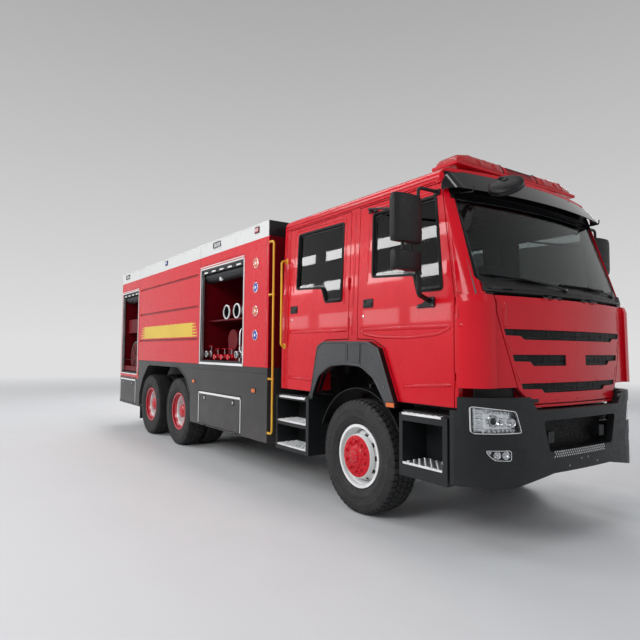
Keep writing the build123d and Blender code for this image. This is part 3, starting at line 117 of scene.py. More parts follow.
# Materials
class Shader:
    """A procedural material, built up by short calls."""

    def __init__(self, name, **values):
        self.material = bpy.data.materials.new(name)
        self.material.use_nodes = True
        self.tree = self.material.node_tree
        self.tree.nodes.clear()
        out = self.node("OutputMaterial")
        self.bsdf = self.node("BsdfPrincipled")
        self.tree.links.new(self.bsdf.outputs[0], out.inputs[0])
        self.spot = self.node("TexCoord").outputs["Object"]
        for key, value in values.items():
            self.feed(self.bsdf.inputs[key.replace("_", " ")], value)

    def node(self, kind, **settings):
        made = self.tree.nodes.new("ShaderNode" + kind)
        for key, value in settings.items():
            setattr(made, key, value)
        return made

    def feed(self, socket, value):
        if isinstance(value, bpy.types.NodeSocket):
            self.tree.links.new(value, socket)
        elif isinstance(value, tuple) and len(value) == 3 and socket.type == "RGBA":
            socket.default_value = (*value, 1)
        else:
            socket.default_value = value

    def set(self, key, value):
        self.feed(self.bsdf.inputs[key], value)

    def add(self, kind, output, inputs, **settings):
        """Adds a node, feeds its inputs by name or number, and returns one of its outputs."""
        node = self.node(kind, **settings)
        for key, value in inputs.items():
            self.feed(node.inputs[key], value)
        return node.outputs[output]

    def scaled(self, x, y, z):
        return self.add("Mapping", 0, {"Vector": self.spot, "Scale": (x, y, z)})

    def noise(self, scale, detail=2.0, spot=None):
        return self.add("TexNoise", "Fac", {"Vector": spot or self.spot, "Scale": scale, "Detail": detail})

    def cells(self, scale):
        return self.add("TexVoronoi", "Distance", {"Vector": self.spot, "Scale": scale})

    def wave(self, direction, scale):
        inputs = {"Vector": self.spot, "Scale": scale}
        return self.add("TexWave", "Fac", inputs, wave_type="BANDS", bands_direction=direction)

    def axis(self, index):
        return self.add("SeparateXYZ", index, {0: self.spot})

    def math(self, operation, a, b=0.0):
        return self.add("Math", 0, {0: a, 1: b}, operation=operation)

    def fold(self, operation, first, *more):
        for value in more:
            first = self.math(operation, first, value)
        return first

    def every(self, *tests):
        return self.fold("MULTIPLY", *tests)

    def most(self, *tests):
        return self.fold("MAXIMUM", *tests)

    def under(self, value, limit):
        return self.math("LESS_THAN", value, limit)

    def over(self, value, limit):
        return self.math("GREATER_THAN", value, limit)

    def within(self, value, low, high):
        return self.every(self.over(value, low), self.under(value, high))

    def remap(self, value, low, high, to_low, to_high):
        return self.add("MapRange", 0, dict(enumerate((value, low, high, to_low, to_high))))

    def mix(self, share, a, b):
        return self.add("Mix", 2, {0: share, 6: a, 7: b}, data_type="RGBA")

    def bump(self, height, strength, distance, under=None):
        inputs = {"Height": height, "Strength": strength, "Distance": distance}
        return self.add("Bump", 0, {**inputs, "Normal": under} if under else inputs)

    def rounded(self, radius):
        return self.add("Bevel", 0, {"Radius": radius}, samples=4)

    def patches(self, scale, detail=3, low=0.35, high=0.65):
        """Soft patches from 0 to 1, for two shades of one colour."""
        return self.remap(self.noise(scale, detail), low, high, 0.0, 1.0)

    def roughen(self, scale, detail, low, high):
        """Uneven roughness between two values."""
        self.set("Roughness", self.remap(self.noise(scale, detail), 0.3, 0.7, low, high))

    def lacquer(self, edge):
        """A slight orange peel under smooth lacquer, both round at the edges."""
        soft = self.rounded(edge)
        self.set("Normal", self.bump(self.noise(60, 1), 0.015, 0.0004, soft))
        self.set("Coat Normal", soft)

    def shaded(self, share, main, deep):
        self.set("Base Color", self.mix(share, main, deep))


PAINT_BLACK = (0.008, 0.008, 0.009)
DUST = (0.32, 0.28, 0.24)
FINE_GRAIN = 420


def paint(name, main, deep, rough=0.26, coat=0.30, edge=0.005, grime=0.0, black_over=None):
    """Sprayed paint under lacquer, with dust low down or black over a height where they are given."""
    s = Shader(name, Coat_Weight=coat, Coat_Roughness=0.035, Specular_IOR_Level=0.15)
    colour = s.mix(s.patches(1.1), main, deep)
    if grime:
        low = s.remap(s.axis(2), 0.3, 1.5, grime, 0.0)
        colour = s.mix(s.math("MULTIPLY", low, s.noise(5, 4)), colour, DUST)
    if black_over:
        colour = s.mix(s.over(s.axis(2), black_over), colour, PAINT_BLACK)
    s.set("Base Color", colour)
    s.roughen(3, 3, rough - 0.04, rough + 0.05)
    s.lacquer(edge)
    return s.material


def plastic(name, main, deep, rough=0.55, grain=0.35):
    """Moulded plastic with a fine grain."""
    s = Shader(name, Specular_IOR_Level=0.28)
    s.shaded(s.patches(3, 4), main, deep)
    s.roughen(25, 3, rough - 0.07, rough + 0.08)
    s.set("Normal", s.bump(s.cells(FINE_GRAIN), grain, 0.0005, s.rounded(0.003)))
    return s.material


def metal(name, main, deep, rough=0.3, streak=(4, 4, 120)):
    """Bare or plated metal with fine streaks."""
    s = Shader(name, Metallic=1.0)
    s.shaded(s.noise(6, 4), main, deep)
    lines = s.noise(6, 3, s.scaled(*streak))
    s.set("Roughness", s.remap(lines, 0.3, 0.7, rough - 0.08, rough + 0.12))
    s.set("Normal", s.bump(lines, 0.08, 0.0004, s.rounded(0.002)))
    return s.material


def lens(name, main, deep, coat=0.35):
    """A moulded lamp lens with fine optics."""
    s = Shader(name, Coat_Weight=coat, Coat_Roughness=0.02, IOR=1.49, Specular_IOR_Level=0.3)
    ribs = s.wave("Z", 45)
    s.shaded(ribs, main, deep)
    s.roughen(90, 2, 0.08, 0.2)
    s.set("Normal", s.bump(ribs, 0.35, 0.002))
    return s.material


def pane(name, tint, frit=None, ior=1.45):
    """Window glass. Its baked black border is given as a function of the shader."""
    s = Shader(name, Transmission_Weight=1.0, IOR=ior)
    if frit:
        share = frit(s)
        s.shaded(share, tint, (0.006, 0.006, 0.007))
        s.set("Transmission Weight", s.math("SUBTRACT", 1.0, share))
        s.set("Roughness", s.remap(share, 0, 1, 0.015, 0.12))
    else:
        s.shaded(s.noise(2, 2), tint, tuple(0.9 * c for c in tint))
        s.set("Roughness", s.remap(s.noise(4, 4), 0.4, 0.7, 0.01, 0.035))
    return s.material


def wheel_paint(name, centre_x):
    """White wheel paint with a red middle. A rear wheel is red again along its rim."""
    s = Shader(name, Coat_Weight=0.5, Coat_Roughness=0.08)
    rear = centre_x < 0
    across = s.math("SUBTRACT", s.axis(0), centre_x)
    up = s.math("SUBTRACT", s.axis(2), AXLE_Z)
    radius = s.math("SQRT", s.math("ADD", s.math("MULTIPLY", across, across), s.math("MULTIPLY", up, up)))
    middle = 0.173 if rear else 0.196
    share = s.remap(radius, middle - 0.001, middle + 0.001, 1.0, 0.0)
    if rear:
        share = s.math("ADD", share, s.remap(radius, 0.252, 0.254, 0.0, 1.0))
    red = s.mix(s.noise(14, 4), (0.55, 0.012, 0.03), (0.42, 0.008, 0.02))
    white = s.mix(s.patches(9, 4, 0.4, 0.7), (0.80, 0.80, 0.80), (0.66, 0.65, 0.64))
    s.shaded(share, white, red)
    s.roughen(30, 2, 0.3, 0.42)
    s.set("Normal", s.bump(s.noise(150), 0.06, 0.0008, s.rounded(0.004)))
    return s.material


def make_tyre_rubber():
    s = Shader("tyre_rubber")
    s.shaded(s.remap(s.noise(7, 5), 0.45, 0.75, 0.0, 0.55), (0.011, 0.011, 0.012), (0.036, 0.034, 0.032))
    s.roughen(40, 3, 0.62, 0.85)
    s.set("Normal", s.bump(s.noise(380, 3), 0.25, 0.0006))
    return s.material


def make_fabric():
    s = Shader("seat_cloth", Sheen_Weight=0.4)
    s.shaded(s.noise(60), (0.05, 0.052, 0.058), (0.09, 0.09, 0.1))
    s.roughen(20, 2, 0.75, 0.92)
    s.set("Normal", s.bump(s.math("ADD", s.wave("X", 160), s.wave("Z", 160)), 0.3, 0.0008))
    return s.material


def make_tread_alloy():
    """Bright, slightly worn alloy plate."""
    s = Shader("tread_alloy", Metallic=1.0)
    s.shaded(s.noise(30, 4), (0.82, 0.82, 0.83), (0.62, 0.62, 0.64))
    s.roughen(60, 3, 0.22, 0.42)
    s.set("Normal", s.bump(s.noise(220, 3), 0.15, 0.0006, s.rounded(0.0015)))
    return s.material


def make_flare():
    """Grey moulding outside, black inside the wheel well."""
    s = Shader("flare_grey", Specular_IOR_Level=0.28)
    grey = s.mix(s.patches(3, 4), (0.062, 0.063, 0.067), (0.046, 0.047, 0.050))
    s.shaded(s.under(s.math("ABSOLUTE", s.axis(1)), 1.199), grey, (0.006, 0.006, 0.006))
    s.roughen(25, 3, 0.30, 0.44)
    s.set("Normal", s.bump(s.cells(FINE_GRAIN), 0.15, 0.0005, s.rounded(0.003)))
    return s.material


def make_mesh_black():
    """Dark louvre plastic with a fine mesh behind it."""
    s = Shader("grille_mesh", Specular_IOR_Level=0.12)
    holes = s.remap(s.cells(70), 0.25, 0.45, 0.0, 1.0)
    s.shaded(holes, (0.001, 0.001, 0.001), (0.007, 0.007, 0.008))
    s.roughen(30, 2, 0.35, 0.5)
    s.set("Normal", s.bump(holes, 0.8, 0.004))
    return s.material


def screen_frit(s):
    """Black along the bottom, the top and both sides of the windscreen."""
    low = s.remap(s.axis(2), 2.128, 2.133, 1.0, 0.0)
    high = s.remap(s.axis(2), 2.800, 2.804, 0.0, 1.0)
    side = s.remap(s.math("ABSOLUTE", s.axis(1)), 1.018, 1.022, 0.0, 1.0)
    return s.most(low, high, side)


RED = paint("fire_red", (0.60, 0.004, 0.016), (0.50, 0.002, 0.011))
PANEL_RED = paint("panel_red", (0.60, 0.004, 0.016), (0.50, 0.002, 0.011), black_over=1.9855)
# Red darkened as painted shade, for the fittings, posts and sill inside the lockers
LOCKER_SHADE_RED = paint("locker_red", (0.15, 0.003, 0.008), (0.10, 0.002, 0.005), rough=0.5, coat=0.02)
# Darker red as painted shade in the floors of the tank's grooves
GROOVE_SHADE_RED = paint("groove_red", (0.30, 0.002, 0.008), (0.24, 0.002, 0.006), rough=0.4, coat=0.2)
WHITE = paint("band_white", (0.80, 0.80, 0.79), (0.73, 0.73, 0.72), rough=0.3, coat=0.6)
GREY = paint("skirt_grey", (0.034, 0.034, 0.036), (0.026, 0.026, 0.028), rough=0.38, coat=0.2, grime=0.2)
FLARE = make_flare()
BOX_GREY = plastic("box_grey", (0.20, 0.20, 0.21), (0.15, 0.15, 0.16), rough=0.4, grain=0.2)
CHARCOAL = plastic("bumper_charcoal", (0.015, 0.016, 0.017), (0.010, 0.011, 0.012), rough=0.42, grain=0.25)
COWL = plastic("cowl_black", (0.009, 0.009, 0.010), (0.006, 0.006, 0.007), rough=0.36, grain=0.05)
BLACK = plastic("black_moulding", (0.012, 0.012, 0.013), (0.007, 0.007, 0.008), rough=0.5)
GLOSS = paint("gloss_black", (0.006, 0.006, 0.007), (0.010, 0.010, 0.011), rough=0.12, coat=0.55, edge=0.003)
CHASSIS = paint("chassis_black", (0.020, 0.020, 0.021), (0.032, 0.030, 0.028), rough=0.5, coat=0.1, grime=0.4)
YELLOW = paint("rail_yellow", (0.80, 0.43, 0.03), (0.68, 0.34, 0.02), rough=0.3, coat=0.6, edge=0.002)
STRIPE = paint("stripe_yellow", (0.72, 0.49, 0.03), (0.66, 0.44, 0.02), rough=0.35, coat=0.4, edge=0.001)
ORANGE = lens("orange_lens", (0.75, 0.16, 0.01), (0.5, 0.09, 0.01))
RED_LENS = lens("red_lens", (0.55, 0.006, 0.01), (0.3, 0.003, 0.006))
BLUE_LENS = lens("blue_lens", (0.02, 0.04, 0.42), (0.01, 0.02, 0.25))
LAMP_SILVER = metal("lamp_silver", (0.96, 0.96, 0.97), (0.86, 0.86, 0.88), rough=0.3, streak=(60, 60, 60))
FOOT_PLATE = metal("foot_plate", (0.60, 0.60, 0.61), (0.42, 0.42, 0.43), rough=0.36)
CLEAR_LENS = lens("clear_lens", (0.90, 0.91, 0.93), (0.55, 0.57, 0.6), coat=1.0)
CHROME = metal("chrome", (0.85, 0.85, 0.86), (0.75, 0.75, 0.77), rough=0.1)
ALLOY = metal("alloy", (0.72, 0.73, 0.74), (0.58, 0.59, 0.6), rough=0.34)
STEEL = metal("steel", (0.38, 0.38, 0.39), (0.26, 0.26, 0.27), rough=0.42)
MIRROR = metal("mirror_face", (0.9, 0.9, 0.92), (0.88, 0.88, 0.9), rough=0.1)
CAST = metal("cast_metal", (0.16, 0.16, 0.17), (0.10, 0.10, 0.10), rough=0.6, streak=(30, 30, 30))
# Alloy darkened as painted shade, for the roller curtains and the reel's spokes
SHADED_ALLOY = metal("curtain_alloy", (0.07, 0.072, 0.075), (0.045, 0.046, 0.048), rough=0.5)
TREAD = make_tread_alloy()
DECK_ALLOY = metal("deck_alloy", (0.46, 0.465, 0.47), (0.36, 0.365, 0.37), rough=0.52)
RUBBER = make_tyre_rubber()
SEAL = plastic("rubber_seal", (0.010, 0.010, 0.011), (0.006, 0.006, 0.006), rough=0.6, grain=0.15)
MESH = make_mesh_black()
CLOTH = make_fabric()
SCREEN_GLASS = pane("screen_glass", (0.34, 0.39, 0.38), screen_frit, 1.34)
SIDE_GLASS = pane("side_glass", (0.07, 0.075, 0.075), ior=1.36)
COVER_GLASS = pane("lamp_cover", (0.93, 0.95, 0.96), ior=1.25)
TEAL = plastic("hose_teal", (0.02, 0.24, 0.20), (0.015, 0.17, 0.15), rough=0.55)


def two_tone(name, test, main, other):
    """Paint in main, with other's colour and less lacquer where the test says 1."""
    s = Shader(name, Coat_Roughness=0.04, Specular_IOR_Level=0.15)
    share = test(s)
    s.shaded(share, main, other)
    s.set("Coat Weight", s.remap(share, 0.0, 1.0, 0.30, 0.02))
    s.roughen(3, 3, 0.24, 0.32)
    s.lacquer(0.005)
    return s.material


def locker_and_wall_shade(s):
    """1 behind the body's skin, where the lockers are, and on the body's front wall: these get a darker red
    as painted shade.
    """
    along, wide = s.axis(0), s.math("ABSOLUTE", s.axis(1))
    lockers = s.every(s.under(wide, BODY_HALF - 0.0402), s.within(along, place(-7.947), place(-1.603)))
    wall = s.every(s.over(along, place(-1.6006)), s.under(wide, BODY_HALF - 0.010))
    return s.most(lockers, wall)


def make_cab_paint():
    """Red outside, grey trim inside, and black round the windscreen and in the wheel wells."""
    s = Shader("cab_red", Coat_Roughness=0.035, Specular_IOR_Level=0.15)
    along, wide, high = s.axis(0), s.math("ABSOLUTE", s.axis(1)), s.axis(2)
    lean = s.math("MULTIPLY", s.math("MAXIMUM", s.math("SUBTRACT", high, WAIST_Z), 0.0), 0.3444)
    ahead = s.math("ADD", along, lean)
    narrow = s.under(s.math("ADD", wide, s.math("MULTIPLY", lean, 0.1001)), CAB_HALF - 0.047)
    inside = s.every(
        narrow, s.under(ahead, place(NOSE - 0.130)), s.over(along, place(-1.3905)),
        s.within(high, 1.4595, 3.0415)
    )
    header = s.every(s.over(ahead, place(NOSE - 0.125)), s.within(high, 2.800, 3.055), s.under(wide, 1.075))
    sill = s.every(s.over(ahead, place(NOSE - 0.170)), s.within(high, 1.9835, 2.062), s.under(wide, 1.020))
    well = s.every(
        s.within(along, place(-0.80), place(0.62)), s.under(high, 1.640), s.under(wide, CAB_HALF - 0.004)
    )
    black = s.most(header, sill, well)
    red = s.mix(s.patches(1.1), (0.62, 0.003, 0.014), (0.54, 0.002, 0.011))
    trim = s.mix(s.noise(40, 3), (0.13, 0.13, 0.135), (0.09, 0.09, 0.095))
    s.shaded(black, s.mix(inside, red, trim), PAINT_BLACK)
    s.set("Coat Weight", s.remap(s.most(inside, black), 0.0, 1.0, 0.30, 0.06))
    uneven = s.remap(s.noise(3, 3), 0.3, 0.7, 0.22, 0.30)
    s.set("Roughness", s.math("ADD", uneven, s.math("MULTIPLY", inside, 0.4)))
    s.lacquer(0.005)
    return s.material


CAB_RED = make_cab_paint()
# Body red, darkened to maroon as painted shade inside the lockers and on the front wall in the gap behind the
# cab
BODY_RED = two_tone("body_red", locker_and_wall_shade, (0.60, 0.003, 0.014), (0.12, 0.002, 0.006))
DECK_PAINT = two_tone(
    "deck_paint", lambda s: s.over(s.axis(0), place(-1.6005)), (0.66, 0.66, 0.65), (0.012, 0.012, 0.013)
)

def pair(*stems):
    return tuple(f"{stem}_{side}" for stem in stems for side in ("left", "right"))


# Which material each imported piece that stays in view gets
DRESS = {
    CAB_RED: ("cab_shell", *pair("door_front", "door_rear")),
    PANEL_RED: ("front_panel",),
    RED: ("rear_hatch", "monitor_turret", "monitor_barrel"),
    BODY_RED: ("front_locker", "tank_section", "rear_locker"),
    DECK_PAINT: ("roof_deck",),
    GREY: ("skirts", *pair("flap_front", "flap_rear")),
    CHARCOAL: ("bumper", "cab_steps"),
    FLARE: ("wheel_arches",),
    GLOSS: ("sun_visor",),
    CHASSIS: ("frame_rails", "subframe", "front_axle", "drive_axles", *pair("knuckle")),
    CAST: ("engine",),
    RUBBER: ("mud_flaps",),
    YELLOW: ("handrails",),
    ALLOY: ("rear_ladder",),
    SHADED_ALLOY: ("roller_shutters",),
    LOCKER_SHADE_RED: ("locker_fittings",),
    MESH: ("grille",),
    CLOTH: ("seats",),
    BLACK: ("dashboard", "steering_wheel"),
    SCREEN_GLASS: ("windscreen",),
    SIDE_GLASS: pair("glass_front", "glass_rear"),
    CLEAR_LENS: ("front_lamps", "body_lamps"),
    RED_LENS: ("light_bar",),
}


def dress(node, material):
    slots = NODES[node].data.materials
    slots.clear()
    slots.append(material)


for material, names in DRESS.items():
    for node in names:
        dress(node, material)
for node in NODES:
    if node.startswith("wheel") and node != "wheel_arches":
        low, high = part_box(node)
        dress(node, wheel_paint(node + "_paint", (low.x + high.x) / 2))


# Outlines
def neighbours(points):
    """Each point of a closed outline between the ones before and after it."""
    points = [Vector(p) for p in points]
    return zip(points[-1:] + points[:-1], points, points[1:] + points[:1])


def corner(before, here, after, radius, share, steps):
    """The bend that rounds one corner. It takes no more than a share of each edge."""
    back, ahead = before - here, after - here
    reach = min(radius, back.length * share, ahead.length * share)
    a, b = here + back.normalized() * reach, here + ahead.normalized() * reach
    return [
        a * (1 - t) ** 2 + here * 2 * t * (1 - t) + b * t * t for t in (k / steps for k in range(steps + 1))
    ]


def rounded(points, radius, steps=4):
    """A closed outline with its corners rounded."""
    return [tuple(p) for three in neighbours(points) for p in corner(*three, radius, 0.45, steps)]


def area(points):
    return 0.5 * sum(a[0] * b[1] - b[0] * a[1] for a, b in zip(points, points[1:] + points[:1]))


def shrunk(points, by):
    """The outline moved inward, point by point."""
    turn = 1 if area(points) > 0 else -1
    made = []
    for before, here, after in neighbours(points):
        a, b = here - before, after - here
        if min(a.length, b.length) < 1e-7:
            edge = (a if a.length > b.length else b).normalized()
            normal, grow = Vector((-edge.y, edge.x)), 1
        else:
            a.normalize()
            b.normalize()
            normal = Vector((-a.y - b.y, a.x + b.x))
            normal = normal.normalized() if normal.length > 1e-6 else Vector((-a.y, a.x))
            grow = 1 / max(0.4, normal.dot(Vector((-a.y, a.x))))
        made.append(tuple(here + normal * by * grow * turn))
    return made


def rect(x0, x1, y0, y1, radius=0.0, steps=3):
    points = [(x0, y0), (x1, y0), (x1, y1), (x0, y1)]
    return rounded(points, radius, steps) if radius else points


def patch(x, y, half_x, half_y, radius=0.0, steps=3):
    """A rectangle about its middle."""
    return rect(x - half_x, x + half_x, y - half_y, y + half_y, radius, steps)


def softened(points, bend, steps=6):
    """A path with its corners rounded."""
    points = [Vector(p) for p in points]
    bends = [p for three in zip(points, points[1:], points[2:]) for p in corner(*three, bend, 0.5, steps)]
    return [points[0]] + bends + [points[-1]]


def heading(path, i):
    """Direction of a path at one of its points."""
    return (path[min(i + 1, len(path) - 1)] - path[max(i - 1, 0)]).normalized()


def circle(count, phase=0.0):
    """Angles evenly round a circle, set off by a share of their pitch."""
    return [2 * pi * (k + phase) / count for k in range(count)]


def ring_of(count, radius, centre, phase=0.0, axis="y"):
    """Points evenly round a circle about a line along Y or Z."""
    x, y, z = centre
    for a in circle(count, phase):
        u, v = radius * cos(a), radius * sin(a)
        yield (x + u, y, z + v) if axis == "y" else (x + u, y + v, z)


def hoop(radius, thick, count=8):
    """Section of a round rim for Kit.lathe."""
    return [(radius + thick * cos(a), thick * sin(a)) for a in circle(count)]


def placed(*points):
    """Points of a path, with X turned into the truck's own."""
    return [(place(x), y, z) for x, y, z in points]


def even(points, count):
    """A closed outline as count points, evenly spaced along it."""
    ends = points[1:] + points[:1]
    lengths = [(Vector(b) - Vector(a)).length for a, b in zip(points, ends)]
    step, made, start = sum(lengths) / count, [], 0.0
    for a, b, length in zip(points, ends, lengths):
        while len(made) < count and len(made) * step < start + length:
            made.append(tuple(Vector(a).lerp(Vector(b), (len(made) * step - start) / length)))
        start += length
    return made


def crossing(points, at):
    """The lowest and highest points of a closed outline at one place along it."""
    hits = []
    for (x0, z0), (x1, z1) in zip(points, points[1:] + points[:1]):
        if min(x0, x1) <= at <= max(x0, x1) and abs(x1 - x0) > 1e-9:
            hits.append(z0 + (z1 - z0) * (at - x0) / (x1 - x0))
    return min(hits), max(hits)


AXES = {
    "x": lambda a, b, t: (t, a, b),
    "y": lambda a, b, t: (a, t, b),
    "z": lambda a, b, t: (a, b, t),
}
# Edges that bend by more than this stay sharp
SHARP = radians(35)


class Kit:
    """Gathers shapes into one piece that rides on a body. They are drawn on the truck's right, or flipped."""

    def __init__(self, name, body="chassis", slot=None, flip=False):
        self.name, self.body, self.slot, self.flip = name, body, slot, flip
        self.mesh = bmesh.new()
        self.materials = []

    def loft(self, loops, material, caps=(True, True), closed=False, smooth=True):
        """Joins rings of points one after another, and caps both ends."""
        if material not in self.materials:
            self.materials.append(material)
        index = self.materials.index(material)
        turn = -1 if self.flip else 1
        rows = [[self.mesh.verts.new((p[0], turn * p[1], p[2])) for p in loop] for loop in loops]
        faces = []
        for a, b in list(zip(rows, rows[1:])) + ([(rows[-1], rows[0])] if closed else []):
            faces += [(a[i - 1], a[i], b[i], b[i - 1]) for i in range(len(a))]
        if not closed:
            faces += [rows[0]] if caps[0] else []
            faces += [rows[-1]] if caps[1] else []
        for face in faces:
            made = self.mesh.faces.new(face)
            made.material_index = index
            made.smooth = smooth

    def form(self, outline, spot, low, high, material, soft=0.002):
        """A prism of an outline from low to high, with softened edges."""
        inner = shrunk(outline, soft)
        levels = ((inner, low), (outline, low + soft), (outline, high - soft), (inner, high))
        self.loft([[spot(a, b, t) for a, b in points] for points, t in levels], material)

    def prism(self, outline, axis, low, high, material, soft=0.002):
        self.form(outline, AXES[axis], low, high, material, soft)

    def box(self, low, high, material, soft=0.002):
        outline = rect(low[0], high[0], low[1], high[1], soft, 1)
        self.prism(outline, "z", low[2], high[2], material, soft)

    def block(self, x0, x1, y0, y1, z0, z1, material, soft):
        """A box with its X values ahead of the front axle."""
        self.box((place(x0), y0, z0), (place(x1), y1, z1), material, soft)

    def ring(self, outer, width, spot, low, high, material):
        """A flat frame: outline outer, drawn in by width."""
        self.surround(outer, shrunk(outer, width), spot, low, high, material)

    def surround(self, outer, inner, spot, low, high, material):
        """A plate between two outlines of as many points."""
        levels = ((outer, low), (outer, high), (inner, high), (inner, low))
        self.loft([[spot(a, b, t) for a, b in points] for points, t in levels], material, closed=True)

    def plate(self, outline, spot, out, thick, material, nu=28, nv=6):
        """A thin plate inside an outline that follows a bent skin."""
        low, high = min(a for a, _ in outline) + 2e-4, max(a for a, _ in outline) - 2e-4

        def at(u, v, t):
            a = low + (high - low) * (1 - cos(pi * u)) / 2
            bottom, top = crossing(outline, a)
            return spot(a, bottom + (top - bottom) * v, out + t)

        self.sheet(at, nu, nv, thick, material)

    def lathe(self, profile, centre, axis, material, steps=32, closed=False):
        """Turns points of (radius, distance along the axis) about the axis through centre."""
        centre, axis = Vector(centre), Vector(axis).normalized()
        across = axis.orthogonal().normalized()
        other = axis.cross(across)
        turns = circle(steps)
        loops = [
            [centre + axis * d + r * (cos(a) * across + sin(a) * other) for a in turns] for r, d in profile
        ]
        self.loft(loops, material, closed=closed)

    def disc(self, centre, axis, radius, depth, material, steps=24, soft=0.15):
        """A round puck with softened rims."""
        r = radius * (1 - soft)
        s = min(depth * 0.3, radius * soft)
        self.lathe(((r, 0), (radius, s), (radius, depth - s), (r, depth)), centre, axis, material, steps)

    def bolt(self, centre, axis, radius, depth, material):
        self.lathe(((radius, 0), (radius, depth * 0.8), (radius * 0.8, depth)), centre, axis, material, 6)

    def tube(self, points, radius, material, bend=0.03, steps=12):
        path = softened(points, bend)
        normal = heading(path, 0).orthogonal().normalized()
        loops = []
        for i, point in enumerate(path):
            ahead = heading(path, i)
            normal = (normal - ahead * normal.dot(ahead)).normalized()
            side = ahead.cross(normal)
            loops.append([point + radius * (cos(a) * normal + sin(a) * side) for a in circle(steps)])
        self.loft(loops, material)

    def sheet(self, func, nu, nv, thick, material):
        """A thin skin over func(u, v, out), closed at its edges."""
        us, vs = [i / nu for i in range(nu + 1)], [j / nv for j in range(nv + 1)]
        loops = []
        for u in us:
            front = [func(u, v, 0.0) for v in vs]
            loops.append(front + [func(u, v, -thick) for v in reversed(vs)])
        self.loft(loops, material)

    def done(self):
        bmesh.ops.recalc_face_normals(self.mesh, faces=self.mesh.faces)
        mesh = bpy.data.meshes.new(self.name)
        self.mesh.to_mesh(mesh)
        self.mesh.free()
        for material in self.materials:
            mesh.materials.append(material)
        mesh.set_sharp_from_angle(angle=SHARP)
        piece = bpy.data.objects.new(self.name, mesh)
        bpy.context.scene.collection.objects.link(piece)
        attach(piece, self.body)
        return piece


# Camera at the photograph's viewing angle
CAMERA_SPOT = Vector((7.366, -4.497, 1.538))
AZIMUTH, RISE, ROLL = radians(55.16), radians(3.217), radians(0.451)
SENSOR, FOCAL = 36, 30.925


def add_camera():
    ahead = Vector((-sin(AZIMUTH) * cos(RISE), cos(AZIMUTH) * cos(RISE), sin(RISE)))
    right = Vector((cos(AZIMUTH), sin(AZIMUTH), 0))
    up = right.cross(ahead)
    turned = cos(ROLL) * right + sin(ROLL) * up
    above = -sin(ROLL) * right + cos(ROLL) * up
    camera = bpy.data.objects.new("camera", bpy.data.cameras.new("camera"))
    camera.data.sensor_width = SENSOR
    camera.data.lens = FOCAL
    camera.data.clip_end = 200
    rows = [(*row, at) for row, at in zip(zip(turned, above, -ahead), CAMERA_SPOT)]
    camera.matrix_world = Matrix(rows + [(0, 0, 0, 1)])
    bpy.context.scene.collection.objects.link(camera)
    bpy.context.scene.camera = camera


add_camera()


# Tyres: the section as radius and half width, then ribs and blocks
TYRE_SECTION = (
    (0.291, 0.108), (0.302, 0.113), (0.309, 0.120), (0.320, 0.131), (0.345, 0.144), (0.372, 0.152),
    (0.376, 0.1545),
    (0.382, 0.1530), (0.415, 0.1555), (0.447, 0.1540), (0.451, 0.1552), (0.456, 0.1530), (0.486, 0.1485),
    (0.508, 0.1430), (0.519, 0.1360), (0.5215, 0.118), (0.5225, 0.060), (0.523, 0.0),
)
TYRE_R = 0.538
BLOCKS = 54


def add_tyre(kit, x, y):
    """One tyre about its own middle, in rubber."""
    section = [(r, -w) for r, w in TYRE_SECTION] + [(r, w) for r, w in reversed(TYRE_SECTION[:-1])]
    section += [(0.291, 0.06), (0.291, -0.06)]
    centre = Vector((x, y, AXLE_Z))
    kit.lathe(section, centre, LEFT, RUBBER, 72, closed=True)

    def at(angle, r, w):
        return centre + Vector((r * sin(angle), w, r * cos(angle)))

    pitch = 2 * pi / BLOCKS
    # Rows: inner edge, outer edge, phase, lean of each block, gap to the next one
    rows = (
        (-0.030, 0.030, 0.0, 0.25, 0.10), (0.041, 0.082, 0.5, -0.2, 0.14), (-0.082, -0.041, 0.5, 0.2, 0.14),
        (0.094, 0.1355, 0.0, 0.1, 0.26), (-0.1355, -0.094, 0.0, -0.1, 0.26),
    )
    for w0, w1, phase, lean, gap in rows:
        skew = lean * pitch
        for k in range(BLOCKS):
            start = (k + phase) * pitch
            end = start + pitch * (1 - gap)
            mid, wid = (start + end + skew) / 2, (w0 + w1) / 2
            corners = ((start, w0), (start + skew, w1), (end + skew, w1), (end, w0))
            loops = []
            for r, draw in ((0.518, 0.0), (0.534, 0.0), (TYRE_R, 0.0018)):
                ring = []
                for angle, w in corners:
                    a = angle + (mid - angle) * draw * 20
                    b = w + (wid - w) * draw * 20
                    top = TYRE_R - 0.0004 - 0.010 * max(0.0, (abs(b) - 0.075) / 0.06) ** 2
                    ring.append(at(a, top if r == TYRE_R else min(r, top - 0.0015), b))
                loops.append(ring)
            kit.loft(loops, RUBBER, caps=(False, True), smooth=False)
    # Shoulder lugs running down the sidewall
    for side in (-1, 1):
        for k in range(BLOCKS):
            start = k * pitch
            end = start + pitch * 0.6
            kit.loft([
                [at(start, r, side * w), at(end, r, side * w), at(end, r - 0.004, side * (w - 0.008)),
                 at(start, r - 0.004, side * (w - 0.008))]
                for r, w in ((0.528, 0.1350), (0.517, 0.1425), (0.500, 0.1480))
            ], RUBBER, smooth=False)


TYRES = {
    "tyre_front": ("front_wheel", "spin_front", (0.0,)),
    "tyres_mid": ("mid_wheels", "spin_mid", (-0.1725, 0.1725)),
    "tyres_rear": ("rear_wheels", "spin_rear", (-0.1725, 0.1725)),
}
for stem, (body, joint, offsets) in TYRES.items():
    for side, _ in SIDES:
        x, y, _ = JOINTS[f"{joint}_{side}"]["pos_m"]
        kit = Kit(f"tread_{stem}_{side}", f"{body}_{side}", "tyre")
        for offset in offsets:
            add_tyre(kit, x, y + offset)
        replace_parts(kit.done(), f"{stem}_{side}")


